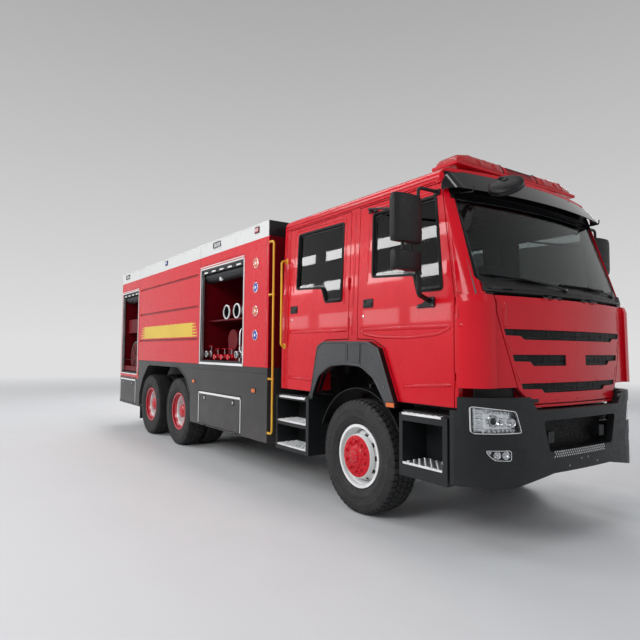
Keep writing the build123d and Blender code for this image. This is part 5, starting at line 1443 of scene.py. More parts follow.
# Bumper: intake, moulded lines, bolts and foot plate
def add_bumper():
    kit = Kit("bumper_detail", "chassis", "dark_plastic")
    intake = [(-0.528, 0.742), (0.403, 0.759), (0.471, 0.948), (-0.560, 0.962)]
    for k in range(13):
        y = -0.50 + k * 0.075
        kit.block(1.44, 1.452, y - 0.004, y + 0.004, 0.765, 0.945, BLACK, 0.001)
    for k in range(7):
        z = 0.775 + k * 0.028
        kit.block(1.445, 1.458, -0.54, 0.47, z - 0.003, z + 0.003, BLACK, 0.001)
    kit.prism(shrunk(intake, -0.030), "x", place(1.4595), place(1.4610), MESH, 0.0005)
    # Moulded lines over and under the lamps, and a black sheet set back under the cab's corners as painted
    # shade
    for sign in (-1, 1):
        press(kit, off_bumper, ((sign * 0.62, 0.640), (sign * 1.10, 0.655)), 0.05, 0.006, CHARCOAL)
        press(kit, off_bumper, ((sign * 0.60, 1.160), (sign * 1.13, 1.168)), 0.030, 0.004, CHARCOAL)

        # A black sheet as painted shade, set back behind the bumper's skin
        def corner_shade_sheet(u, v, out):
            return off_bumper(sign * (0.770 + 0.350 * u), 1.186 + 0.070 * v, out - 0.110)

        kit.sheet(corner_shade_sheet, 24, 2, 0.004, BLACK)
    for y, z in ((-0.05, 0.665), (0.05, 0.668), (-0.22, 0.62), (0.20, 0.62)):
        kit.bolt(BUMPER.front(y, z, -0.001), AHEAD, 0.009, 0.0032, STEEL)
    kit.done()
    plate = Kit("bumper_tread", "chassis", "aluminium")
    for row in range(3):
        for k in range(26):
            y, z = -0.41 + k * 0.0288 + (row % 2) * 0.014, 0.708 + row * 0.019
            if y < 0.33:
                plate.disc(BUMPER.front(y, z, -SEAT), AHEAD, 0.0085, 0.0026, FOOT_PLATE, 8)
    plate.form(rect(-0.43, 0.34, 0.698, 0.762, 0.008), BUMPER.front, -0.001, 0.0012, FOOT_PLATE, 0.0006)
    plate.done()


add_bumper()


def lozenges(kit, x0, x1, y0, y1, nx, ny, turn, long, wide, low, high, material):
    """Raised lozenges on a plate between two heights, leaning one way and the other in turn."""
    for i in range(nx):
        for j in range(ny):
            x, y = place(x0 + (x1 - x0) * (i + 0.5) / nx), y0 + (y1 - y0) * (j + 0.5) / ny
            lean = turn if (i + j) % 2 else -turn
            along, aside = Vector((cos(lean), sin(lean))) * long, Vector((-sin(lean), cos(lean))) * wide
            corners = (along, aside, -along, -aside)
            loops = [
                [(x + d.x * share, y + d.y * share, z) for d in corners]
                for share, z in ((1.0, low), (0.6, high))
            ]
            kit.loft(loops, material, (False, True), smooth=False)


# Step treads: X from and to, Y from and to, height
STEP_TREADS = (
    (0.655, 1.100, -1.1925, -1.152, 1.0165), (0.664, 1.111, -1.1925, -0.925, 0.6012),
    (-1.400, -0.869, -1.1925, -1.152, 1.0165), (-1.434, -0.844, -1.1925, -0.925, 0.7432),
    (-1.434, -0.844, -1.1925, -0.925, 0.4692),
)
TREAD_PITCH = 0.034


def add_steps(side, flip):
    """Bright plates with raised lozenges, and a lip along each."""
    kit = Kit(f"step_treads_{side}", "chassis", "aluminium", flip)
    for x0, x1, y0, y1, z in STEP_TREADS:
        kit.prism(rect(place(x0), place(x1), y0, y1, 0.006, 2), "z", z - 0.001, z + 0.003, TREAD, 0.001)
        nx, ny = max(4, round((x1 - x0) / TREAD_PITCH)), max(2, round(abs(y1 - y0) / TREAD_PITCH))
        lozenges(kit, x0, x1, y0, y1, nx, ny, 0.78, 0.0155, 0.0050, z + 0.0025, z + 0.0075, ALLOY)
        kit.block(x0, x1, y0 - 0.0045, y0 + 0.0015, z - 0.015, z + 0.005, LAMP_SILVER, 0.001)
    kit.done()


both_sides(add_steps)


# Front wheel arch: seams between its three parts, the insert's frame, rolled lips, screws and the marker
ARCH_Y = -1.205
ARCH_OUTER = [
    (-0.775, 1.055), (-0.735, 1.105), (-0.622, 1.575), (-0.520, 1.626), (0.198, 1.619), (0.345, 1.556),
    (0.555, 1.078)
]
ARCH_INNER = [
    (-0.728, 1.050), (-0.708, 1.085), (-0.605, 1.282), (-0.402, 1.392), (-0.140, 1.414), (0.100, 1.402),
    (0.295, 1.294),
    (0.446, 1.085),
]


def on_arch(x, z, out):
    return (place(x), ARCH_Y - out, z)


def add_arch(side, flip):
    kit = Kit(f"arch_detail_{side}", "chassis", "dark_plastic", flip)
    for a, b in (
        ((-0.130, 1.4225), (-0.135, 1.633)), ((0.100, 1.412), (0.112, 1.629)),
        ((-0.700, 1.09), (-0.738, 1.10)),
        ((0.440, 1.09), (0.560, 1.09)),
    ):
        run(kit, on_arch, a, b, 0.006, 0.0008, BLACK, 0.001)
    insert = rounded([(-0.112, 1.435), (0.085, 1.426), (0.096, 1.612), (-0.118, 1.616)], 0.012)
    kit.ring(insert, 0.016, on_arch, -SEAT, 0.005, FLARE)
    # Rolled lips along the outer and inner edges
    for points in (ARCH_OUTER, ARCH_INNER):
        press(kit, on_arch, points, 0.024, 0.006, FLARE, 0.06)
    for x, z in ((-0.66, 1.20), (-0.50, 1.50), (0.25, 1.47), (0.43, 1.22)):
        kit.disc(on_arch(x, z, 0.0), RIGHT, 0.011, 0.003, BLACK, 16)
        kit.bolt(on_arch(x, z, 0.0028), RIGHT, 0.0055, 0.003, STEEL)
    kit.done()
    marker = Kit(f"arch_marker_{side}", "chassis", "lamp_glass", flip)
    marker.form(rect(0.468, 0.582, 1.044, 1.094, 0.010), on_arch, -0.004, 0.008, BLACK, 0.002)
    marker.form(rect(0.473, 0.577, 1.049, 1.089, 0.008), on_arch, 0.007, 0.014, ORANGE, 0.004)
    marker.done()


both_sides(add_arch)


# Body sides
FRONT_OPENING = (-3.660, -2.240, 1.355, 2.738)
REAR_OPENING = (-7.880, -6.770, 1.050, 2.705)
FLAPS = {"front_flap": (-3.680, -2.280, 0.462, 0.930), "rear_flap": (-7.920, -6.850, 0.480, 0.950)}
BODY_ENDS = (-7.946, -1.604)
REAR_ARCH_X = -5.300
REAR_ARCH = [
    (-1.300, 0.680), (-1.120, 0.985), (-0.785, 1.262), (0.750, 1.262), (1.100, 1.105), (1.265, 0.850)
]
STRIPE_ENDS = (-6.36, -3.98)


def level(kit, x0, x1, z, width, out, material, count=1):
    """A straight bead along the body's side."""
    run(kit, on_body, (x0, z), (x1, z), width, out, material, 0.0005, count)


def add_flap_trim(side, flip, name, x0, x1, z0, z1):
    """White edges on three sides of a flap, and its two latches."""
    trim = Kit(f"{name}_trim_{side}", f"{name}_{side}", "aluminium", flip)
    left, right, low, high = x0 + 0.004, x1 - 0.004, z0 + 0.006, z1 - 0.004
    for edge in (
        (left, left + 0.015, low, high), (left, right, high - 0.030, high), (right - 0.015, right, low, high)
    ):
        trim.form(rect(*edge, 0.002, 1), on_body, -SEAT, 0.005, WHITE, 0.0015)
    z = z1 - 0.078
    for x in (x0 + 0.23, x1 - 0.23):
        trim.form(
            rect(x - 0.030, x + 0.030, z - 0.045, z + 0.030, 0.010, 4), on_body, -SEAT, 0.004, BLACK, 0.0015
        )
        trim.form(
            rect(x - 0.021, x + 0.021, z - 0.036, z + 0.020, 0.007, 4), on_body, 0.0035, 0.0048, BLACK, 0.0005
        )
        pull = [
            (x - 0.016, z - 0.030), (x + 0.016, z - 0.030), (x + 0.013, z + 0.012), (x - 0.013, z + 0.012)
        ]
        trim.form(rounded(pull, 0.006), on_body, 0.0045, 0.010, CHROME, 0.002)
    trim.done()


def add_stripe(side, flip):
    """Yellow stripe with stepped speed lines at both ends."""
    kit = Kit(f"stripe_{side}", "chassis", "red_paint", flip)

    def bar(a, b, z0, z1, radius):
        kit.form(rect(a, b, z0, z1, radius, 1), on_body, -0.0002, 0.0012, STRIPE, 0.0004)

    bar(*STRIPE_ENDS, 1.742, 1.962, 0.004)
    for k in range(5):
        z = 1.757 + k * 0.0465
        for end, sign in ((STRIPE_ENDS[1], 1), (STRIPE_ENDS[0], -1)):
            reach = 0.150 - 0.022 * abs(k - 0.5)
            for start, stop in ((-0.002, reach), (reach + 0.018, reach + 0.052)):
                a, b = sorted((end + sign * start, end + sign * stop))
                bar(a, b, z - 0.012, z + 0.012, 0.002)
    kit.done()


def add_body_side(side, flip):
    kit = Kit(f"body_trim_{side}", "chassis", "white_paint", flip)
    # White trims round the openings, a drip rail over each, and the sill of the front one
    for x0, x1, z0, z1 in (FRONT_OPENING, REAR_OPENING):
        edge = rect(x0 - 0.010, x1 + 0.010, z0 - 0.010, z1 + 0.010, 0.006, 2)
        kit.ring(edge, 0.018, on_body, -SEAT, 0.0075, WHITE)
        level(kit, x0 - 0.012, x1 + 0.012, z1 + 0.030, 0.016, 0.012, WHITE, 2)
    sill = rect(FRONT_OPENING[0] - 0.012, FRONT_OPENING[1] + 0.012, 1.330, 1.352, 0.004, 1)
    kit.form(sill, on_body, -SEAT, 0.0095, WHITE, 0.002)
    # Lower edge of the white band and a bead along its top
    level(kit, *BODY_ENDS, 2.928, 0.010, 0.003, WHITE)
    level(kit, *BODY_ENDS, 3.112, 0.014, 0.0035, WHITE)
    kit.done()
    seams = Kit(f"body_seams_{side}", "chassis", "black_plastic", flip)
    for x, foot in ((-3.700, 0.445), (-6.700, 0.47)):
        run(seams, on_body, (x, 1.335), (x, 3.118), 0.005, 0.0006, SEAL, 0.0005, 1)
        run(seams, on_body, (x, foot), (x, 1.325), 0.004, 0.0006, SEAL, 0.0005, 1)
    level(seams, *BODY_ENDS, 1.3305, 0.0045, 0.0007, SEAL)
    seams.done()
    red = Kit(f"body_pressings_{side}", "chassis", "red_paint", flip)
    # Rounded front corner post of the body, and the floors of the tank's grooves in a darker red as painted
    # shade
    press(red, on_body, ((-1.640, 1.36), (-1.640, 2.90)), 0.05, 0.004, RED)
    for z in (2.680, 2.200, 1.705):
        groove = rect(-6.636, -3.764, z - 0.0165, z + 0.0165, 0.004, 1)
        red.form(groove, on_body, -0.0138, -0.0125, GROOVE_SHADE_RED, 0.0004)
    for x0, x1, z in ((-3.66, -2.24, 2.800), (-7.88, -6.77, 2.770)):
        press(red, on_body, ((x0, z), (x1, z)), 0.022, 0.0024, RED)
    red.done()
    for name, sizes in FLAPS.items():
        add_flap_trim(side, flip, name, *sizes)
    # Grey skirt: wheel-arch lip, pressed lines, rivets and markers
    kit = Kit(f"skirt_detail_{side}", "chassis", "grey_paint", flip)
    path_run(kit, on_body, [(REAR_ARCH_X + x, z) for x, z in REAR_ARCH], 0.020, 0.006, GREY, 0.10, 0.002)
    press(kit, on_body, ((-3.98, 1.262), (-1.62, 1.262)), 0.024, 0.003, GREY)
    press(kit, on_body, ((-7.93, 0.985), (-6.80, 0.985)), 0.022, 0.003, GREY)
    for k in range(14):
        kit.disc(on_body(-3.93 + k * 0.178, 1.305, -0.0003), RIGHT, 0.006, 0.003, GREY, 10)
    kit.done()
    markers = Kit(f"side_markers_{side}", "chassis", "lamp_glass", flip)
    for x, z in ((-1.939, 1.040), (-3.875, 1.061), (-6.735, 1.075)):
        markers.form(patch(x, z, 0.052, 0.030, 0.010), on_body, -SEAT, 0.006, BLACK, 0.002)
        markers.form(patch(x, z, 0.046, 0.024, 0.008), on_body, 0.005, 0.0115, ORANGE, 0.004)
    markers.done()
    add_stripe(side, flip)


both_sides(add_body_side)


# Lamps on the body: round side lamps, band lamps and tail lamps
BAND_Z = 3.045
# X, width, height and glow. Without a glow it is a floodlight.
BAND_LAMPS = (
    (-1.903, 0.100, 0.060, RED_LENS), (-3.093, 0.250, 0.080, None), (-5.214, 0.100, 0.060, BLUE_LENS),
    (-7.549, 0.250, 0.080, None),
)


def add_side_lamp(kit, z, glow):
    x, y, z = on_body(-1.910, z, 0.0)
    rim = ((0.066, 0.0), (0.066, 0.008), (0.063, 0.012), (0.057, 0.0125), (0.055, 0.009), (0.055, 0.0))
    kit.lathe(rim, (x, y, z), RIGHT, CHROME, 40, True)
    dome = ((0.0545, 0.0), (0.0545, 0.008), (0.044, 0.0115), (0.022, 0.0133), (0.002, 0.0137))
    kit.lathe(dome, (x, y, z), RIGHT, glow, 32)
    kit.lathe(((0.020, 0.0), (0.018, 0.003), (0.004, 0.0045)), (x, y - 0.0118, z), RIGHT, CLEAR_LENS, 20)
    for a in (0.8, 2.4, 4.0, 5.5):
        kit.bolt((x + 0.060 * cos(a), y - 0.0115, z + 0.060 * sin(a)), RIGHT, 0.0030, 0.0018, STEEL)


def add_band_lamp(kit, x, width, height, glow):
    w, h = width / 2, height / 2
    base = patch(x, BAND_Z, w + 0.014, h + 0.012, 0.010)
    kit.form(base, on_body, -SEAT, 0.005, BLACK if glow else ALLOY, 0.002)
    body = patch(x, BAND_Z, w, h, 0.008)
    if glow:
        kit.form(body, on_body, 0.0045, 0.013, glow, 0.004)
        for share in (-0.6, 0.0, 0.6):
            strip = patch(x + w * share, BAND_Z, 0.008, h * 0.7, 0.003, 1)
            kit.form(strip, on_body, 0.012, 0.0138, CLEAR_LENS, 0.0008)
        return
    kit.ring(body, 0.010, on_body, 0.0045, 0.0138, BLACK)
    kit.form(shrunk(body, 0.010), on_body, 0.0045, 0.0065, CHROME, 0.0005)
    for i in range(4):
        for j in range(2):
            at = on_body(x - w + width * (i + 0.5) / 4, BAND_Z - h + height * (j + 0.5) / 2, 0.006)
            kit.disc(at, RIGHT, 0.011, 0.005, CLEAR_LENS, 14)


def add_body_lamps(side, flip):
    kit = Kit(f"body_lamp_units_{side}", "chassis", "lamp_glass", flip)
    for z, glow in ((2.629, ORANGE), (2.324, BLUE_LENS), (2.029, ORANGE), (1.727, BLUE_LENS)):
        add_side_lamp(kit, z, glow)
    for lamp in BAND_LAMPS:
        add_band_lamp(kit, *lamp)
    return kit.done()


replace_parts(both_sides(add_body_lamps)[0], "body_lamps")


# Back of the body
TAIL_X = place(-7.950)
PLATE_X = TAIL_X + 0.028
GUARD_X = place(-7.920)
MARK_PITCH = 0.19


def on_back(y, z, out):
    return (TAIL_X - out, y, z)


def on_plate(y, z, out):
    return (PLATE_X - out, y, z)


def on_guard(y, z, out):
    return (GUARD_X - out, y, z)


def add_tail_lamps(side, flip):
    """Clusters of lamps, low and high, on the body's back."""
    kit = Kit(f"tail_lamps_{side}", "chassis", "lamp_glass", flip)
    for z0, z1, glows in (
        (1.012, 1.188, (RED_LENS, ORANGE, CLEAR_LENS)), (2.762, 2.858, (RED_LENS, BLUE_LENS))
    ):
        kit.prism(rect(-1.238, -1.162, z0, z1, 0.012), "x", TAIL_X - 0.022, TAIL_X - 0.0004, BLACK, 0.004)
        step = (z1 - z0 - 0.012) / len(glows)
        for k, glow in enumerate(glows):
            high = z1 - 0.006 - k * step
            cover = rect(-1.231, -1.169, high - step + 0.005, high, 0.008)
            kit.prism(cover, "x", TAIL_X - 0.0298, TAIL_X - 0.020, glow, 0.004)
    kit.done()


def add_hatch_detail():
    kit = Kit("hatch_detail", "tail_hatch", "red_paint")
    for z in (1.42, 1.86, 2.30):
        kit.ring(rect(-0.52, 0.52, z, z + 0.34, 0.03, 4), 0.014, on_back, -0.0004, 0.0035, RED)
    pull = [on_back(y, 1.335, out) for y, out in ((-0.14, 0.0), (-0.14, 0.045), (0.14, 0.045), (0.14, 0.0))]
    kit.tube(pull, 0.009, CHROME, 0.02)
    for y in (-0.14, 0.14):
        kit.disc(on_back(y, 1.335, -SEAT), AFT, 0.020, 0.006, CHROME, 20)
    for y in (-0.46, 0.46):
        kit.form(rect(y - 0.030, y + 0.030, 1.290, 1.360, 0.008), on_back, -SEAT, 0.006, ALLOY, 0.002)
        kit.form(rect(y - 0.016, y + 0.016, 1.300, 1.345, 0.005), on_back, 0.0055, 0.012, CHROME, 0.002)
    kit.ring(rect(-0.606, 0.606, 1.254, 2.668, 0.008), 0.012, on_back, -0.0004, 0.0026, RED)
    kit.done()


def add_back():
    kit = Kit("tail_trim", "chassis", "aluminium")
    kit.ring(rect(-0.640, 0.640, 1.222, 2.735, 0.010), 0.018, on_back, -SEAT, 0.006, ALLOY)
    kit.form(rect(-1.21, 1.21, 2.905, 2.925, 0.004, 1), on_back, -SEAT, 0.010, ALLOY, 0.002)
    for y in (-1.246, 1.246):
        kit.form(rect(y - 0.004, y + 0.004, 1.34, 2.90, 0.002, 1), on_back, -SEAT, 0.004, ALLOY, 0.001)
    for z in (1.45, 1.75, 2.05, 2.35, 2.65):
        for y in (-0.665, 0.665):
            kit.lathe(((0.006, 0), (0.005, 0.003), (0.002, 0.0042)), on_back(y, z, -0.0003), AFT, ALLOY, 10)
    kit.done()
    # Slanting yellow bars beside the hatch: wide ones on the left,
    # and their ends on the right behind the ladder
    marks = Kit("tail_marks", "chassis", "red_paint")
    for y, far, rise in ((0.700, 1.195, 0.20), (-0.700, -0.775, 0.030)):
        for k in range(7):
            z = 1.40 + k * MARK_PITCH
            bar = [(y, z), (far, z + rise), (far, z + rise + 0.095), (y, z + 0.095)]
            marks.form(bar, on_back, -0.0002, 0.0012, STRIPE, 0.0004)
    marks.done()
    # Blank number plate with its lamps, then the low lamps and the guard's markers
    low = Kit("tail_fittings", "chassis", "black_plastic")
    low.form(rect(-0.26, 0.26, 1.065, 1.175, 0.012), on_plate, -0.02, 0.010, BLACK, 0.003)
    low.form(rect(-0.245, 0.245, 1.075, 1.165, 0.008), on_plate, 0.009, 0.0125, WHITE, 0.001)
    for y in (-0.16, 0.16):
        low.form(rect(y - 0.035, y + 0.035, 1.182, 1.200, 0.006), on_plate, -0.02, 0.030, CLEAR_LENS, 0.003)
    for y in (-1.08, 1.08):
        low.form(rect(y - 0.052, y + 0.052, 1.075, 1.115, 0.008), on_back, -SEAT, 0.008, RED_LENS, 0.002)
    for y in (-0.62, -0.2, 0.2, 0.62):
        low.form(rect(y - 0.030, y + 0.030, 0.565, 0.595, 0.006), on_guard, -SEAT, 0.004, RED_LENS, 0.001)
    low.done()
    add_hatch_detail()
    ladder = Kit("ladder_detail", "chassis", "aluminium")
    grip = ((0.0134, 0), (0.0146, 0.003), (0.0146, 0.013), (0.0134, 0.016))
    for k in range(8):
        for i in range(7):
            ladder.lathe(grip, (place(-8.004), -1.09 + i * 0.042, 0.960 + 0.290 * k), LEFT, BLACK, 14)
    for y in (-1.13, -0.79):
        for z in (1.03, 2.88):
            ladder.disc((TAIL_X, y, z), AFT, 0.030, 0.007, ALLOY, 20)
    ladder.done()


add_back()
both_sides(add_tail_lamps)


# Lockers: roller curtains, bars, tube rims, lamp, valves, hoses and boxes
DRUM_Y, DRUM_R, SLATS = -1.105, 0.0935, 16
TUBE_XS, TUBE_Z = (-3.010, -2.690, -2.420), 2.080
OUTLET_Y = -1.150
# X and height of each hose outlet, and whether it is one of the two large ones
OUTLETS = (
    (-3.480, 1.480, True), (-3.25, 1.440, False), (-3.02, 1.440, False), (-2.80, 1.440, False),
    (-2.500, 1.480, True)
)
REEL_X, REEL_Z = -7.320, 1.380


def add_curtain(kit, x0, x1, z0, z1):
    """Rolled curtain: slats round its drum in alloy darkened as painted shade, its lift bar with clips, and
    the grooves of the guide rails.
    """
    drum_z = z1 - 0.0993
    for a0 in circle(SLATS):
        a1 = a0 + 2 * pi / SLATS * 0.86
        turns = (a0, (a0 + a1) / 2, a1)
        edge = [(a, DRUM_R) for a in turns] + [(a, DRUM_R + 0.004) for a in reversed(turns)]
        section = [(DRUM_Y + r * cos(a), drum_z + r * sin(a)) for a, r in edge]
        kit.loft([[(place(x), y, z) for y, z in section] for x in (x0 + 0.016, x1 - 0.016)], SHADED_ALLOY)
    low = z1 - 0.044
    kit.block(x0 + 0.040, x1 - 0.040, -1.2455, -1.222, low - 0.034, low + 0.004, BLACK, 0.004)
    count = round((x1 - x0) / 0.30)
    for k in range(count):
        x = x0 + 0.04 + (x1 - x0 - 0.08) * (k + 0.5) / count
        kit.block(x - 0.065, x + 0.065, -1.2490, -1.244, low - 0.026, low - 0.002, WHITE, 0.002)
    for x in (x0 + 0.036, x1 - 0.036):
        for edge in (-0.006, 0.006):
            at = place(x + edge)
            kit.box((at - 0.002, -1.246, z0 + 0.04), (at + 0.002, -1.212, z1 - 0.05), ALLOY, 0.0008)


def add_outlet(kit, x, z, large):
    """A hose outlet with its two lugs, and a valve with a handwheel over it."""
    y = OUTLET_Y
    if large:
        mouth = (
            (0.050, 0.0), (0.050, 0.014), (0.040, 0.020), (0.038, 0.058), (0.046, 0.062), (0.046, 0.078),
            (0.034, 0.080), (0.034, 0.0),
        )
        kit.lathe(mouth, (place(x), y + 0.002, z), RIGHT, ALLOY, 28, True)
    else:
        cap = (
            (0.042, -0.04), (0.042, 0.0), (0.034, 0.010), (0.034, 0.034), (0.040, 0.040), (0.040, 0.052),
            (0.010, 0.056)
        )
        kit.lathe(cap, (place(x), y, z), RIGHT, RED, 24)
    near, far = (y - 0.050, y - 0.066) if large else (y - 0.036, y - 0.048)
    for lug in (place(x) + 0.040, place(x) - 0.040):
        kit.box((lug - 0.010, far, z - 0.012), (lug + 0.010, near, z + 0.012), ALLOY, 0.003)
    hub = (place(x), y + 0.010, z + 0.118)
    kit.tube(((hub[0], hub[1], z + 0.04), (hub[0], hub[1], z + 0.115)), 0.007, STEEL)
    kit.lathe(hoop(0.034, 0.006), hub, UP, RED, 24, True)
    for rim in ring_of(4, 0.034, hub, axis="z"):
        kit.tube((hub, rim), 0.0035, RED, 0.01, 6)


def add_lockers(side, flip):
    kit = Kit(f"locker_curtains_{side}", "chassis", "aluminium", flip)
    for opening in (FRONT_OPENING, REAR_OPENING):
        add_curtain(kit, *opening)
    kit.done()
    store = Kit(f"locker_contents_{side}", "chassis", "equipment_metal", flip)
    # Rims and inner walls of the three storage tubes
    rim = ((0.104, 0.0), (0.104, 0.014), (0.098, 0.018), (0.088, 0.018), (0.086, 0.010), (0.086, 0.0))
    wall = ((0.0875, -0.01), (0.0875, 0.60), (0.082, 0.60), (0.082, -0.01))
    for x in TUBE_XS:
        store.lathe(rim, (place(x), -1.1198, TUBE_Z), RIGHT, WHITE, 40, True)
        store.lathe(wall, (place(x), -1.115, TUBE_Z), LEFT, BLACK, 32, True)
    # Lamp on its cord bracket, and the pipe beside the tubes
    store.block(-3.150, -3.090, -1.185, -1.150, 2.535, 2.655, WHITE, 0.008)
    store.block(-3.143, -3.097, -1.189, -1.184, 2.545, 2.605, CLEAR_LENS, 0.003)
    store.tube(
        placed((-3.12, -1.168, 2.652), (-3.12, -1.168, 2.700), (-3.12, -1.13, 2.730)), 0.006, BLACK, 0.02
    )
    pipe = placed((-2.52, -1.155, 1.362), (-2.52, -1.155, 1.80), (-2.52, -1.09, 1.86), (-2.52, -0.95, 1.86))
    store.tube(pipe, 0.013, ALLOY, 0.05)
    for outlet in OUTLETS:
        add_outlet(store, *outlet)
    store.done()
    # Rear locker: teal suction hose on its spokes, a grey box, two posts and the sill; posts and sill are red
    # darkened as painted shade
    aft = Kit(f"aft_contents_{side}", "chassis", "equipment_metal", flip)
    for k in range(7):
        coil = (place(REEL_X), -1.105 + 0.046 * k, REEL_Z)
        aft.lathe(hoop(0.306, 0.024, 10), coil, LEFT, TEAL, 40, True)
    aft.tube(
        placed((-7.02, -1.105, 1.30), (-7.00, -1.12, 1.16), (-7.10, -1.15, 1.110)), 0.024, TEAL, 0.05, 12
    )
    middle = (place(REEL_X), -1.136, REEL_Z)
    # Spokes in alloy darkened as painted shade
    for ends in zip(ring_of(6, 0.05, middle), ring_of(6, 0.27, middle)):
        aft.tube(ends, 0.010, SHADED_ALLOY, 0.01, 8)
    aft.block(-7.00, -6.86, -1.16, -0.86, 1.088, 1.42, BOX_GREY, 0.012)
    aft.block(-6.96, -6.90, -1.166, -1.158, 1.36, 1.40, ALLOY, 0.003)
    for x in (-7.66, -7.58):
        aft.tube(
            placed((x, -1.08, 1.09), (x, -1.08, 1.62), (x, -1.02, 1.68), (x, -0.86, 1.68)), 0.018, LOCKER_SHADE_RED,
            0.05
        )
    aft.block(-7.84, -6.81, -1.205, -1.165, 1.092, 1.20, LOCKER_SHADE_RED, 0.008)
    aft.done()


both_sides(add_lockers)


# Roof: deck plates, and the edges, latches and handles of the lids, boxes and vents
DECK_PLATES = ((-7.88, -6.74), (-6.66, -5.2), (-5.16, -3.74), (-3.66, -2.66), (-2.34, -1.67))
DECK_HALF, DECK_TOP = 0.80, 2.9505
ROOF_BOXES = ((-7.800, -6.800), (-6.550, -3.800), (-3.550, -2.750))
MANHOLES = (-4.450, -5.950)
VENT_X, VENT_YS = -5.200, (0.55, -0.55)


def add_manhole(kit, x):
    x = place(x)
    lid = (
        (0.302, -0.012), (0.302, -0.002), (0.285, 0.001), (0.270, 0.0006), (0.262, 0.008), (0.10, 0.016),
        (0.02, 0.017)
    )
    kit.lathe(lid, (x, 0.0, 3.005), UP, ALLOY, 48)
    for clamp in ring_of(6, 0.280, (x, 0.0, 3.005), axis="z"):
        kit.disc(clamp, UP, 0.016, 0.016, CHROME, 16)
    handle = [
        (x + reach, 0, z) for reach, z in ((-0.10, 3.016), (-0.10, 3.058), (0.10, 3.058), (0.10, 3.016))
    ]
    kit.tube(handle, 0.009, CHROME, 0.02)
    kit.box((x + 0.292, -0.09, 2.965), (x + 0.345, 0.09, 3.012), STEEL, 0.006)


def add_roof_box(kit, sign, x0, x1):
    """Lid, cut lines, latches and hinges of a long box on the deck."""
    y = sign * 1.020
    kit.box((place(x0) - 0.004, y - 0.134, 3.052), (place(x1) + 0.004, y + 0.134, 3.0795), ALLOY, 0.005)
    count = max(2, round((x1 - x0) / 0.9))
    for k in range(1, count):
        x = place(x0 + (x1 - x0) * k / count)
        kit.box((x - 0.002, y - 0.1345, 3.0525), (x + 0.002, y + 0.1345, 3.0800), BLACK, 0.0004)
    low, high = sorted((y - sign * 0.134, y - sign * 0.134 - sign * 0.010))
    for k in range(count):
        x = x0 + (x1 - x0) * (k + 0.5) / count
        kit.box((place(x) - 0.025, low, 3.020), (place(x) + 0.025, high, 3.066), CHROME, 0.003)
        for dx in (-0.22, 0.22):
            ends = [(place(x + dx) + reach, y + sign * 0.136, 3.050) for reach in (-0.04, 0.04)]
            kit.tube(ends, 0.006, STEEL, 0.01, 8)


def add_roof():
    kit = Kit("deck_plates", "chassis", "aluminium")
    z = DECK_TOP
    for x0, x1 in DECK_PLATES:
        plate = rect(place(x0), place(x1), -DECK_HALF, DECK_HALF, 0.01, 2)
        kit.prism(plate, "z", z, z + 0.004, DECK_ALLOY, 0.001)
        nx = round((x1 - x0) / 0.115)
        lozenges(
            kit, x0, x1, -DECK_HALF, DECK_HALF, nx, 14, 0.7, 0.028, 0.006, z + 0.0035, z + 0.0065, DECK_ALLOY
        )
    kit.done()
    lids = Kit("deck_fittings", "chassis", "aluminium")
    for x in MANHOLES:
        add_manhole(lids, x)
    for sign in (-1, 1):
        for x0, x1 in ROOF_BOXES:
            add_roof_box(lids, sign, x0, x1)
    cap = ((0.071, -0.004), (0.0725, 0.003), (0.0725, 0.022), (0.066, 0.030), (0.02, 0.037))
    for y in VENT_YS:
        lids.lathe(cap, (place(VENT_X), y, 3.018), UP, ALLOY, 28)
        for a, b, _ in ring_of(6, 0.056, (place(VENT_X), y, 0.0), axis="z"):
            lids.box((a - 0.004, b - 0.004, 2.952), (a + 0.004, b + 0.004, 3.016), STEEL, 0.001)
    lids.done()
    cab = Kit("cab_roof_detail", "chassis", "red_paint")
    for y in (-0.78, -0.39, 0.0, 0.39, 0.78):
        press(cab, ROOF.top, ((-1.20, y), (0.60, y)), 0.09, 0.009, RED)
    cab.done()
    extra = Kit("cab_roof_hatch", "chassis", "black_plastic")
    extra.form(rect(-0.62, -0.10, -0.26, 0.26, 0.05, 4), ROOF.top, -0.001, 0.030, BLACK, 0.010)
    aerial = ((0.008, 0), (0.008, 0.018), (0.003, 0.030), (0.0028, 0.24))
    extra.lathe(aerial, ROOF.top(-1.10, 0.70, 0.0), UP, BLACK, 12)
    extra.done()


add_roof()


# Roof monitor: flanges, gearbox, handwheel and the barrel's rings
TILT_Z = 3.370


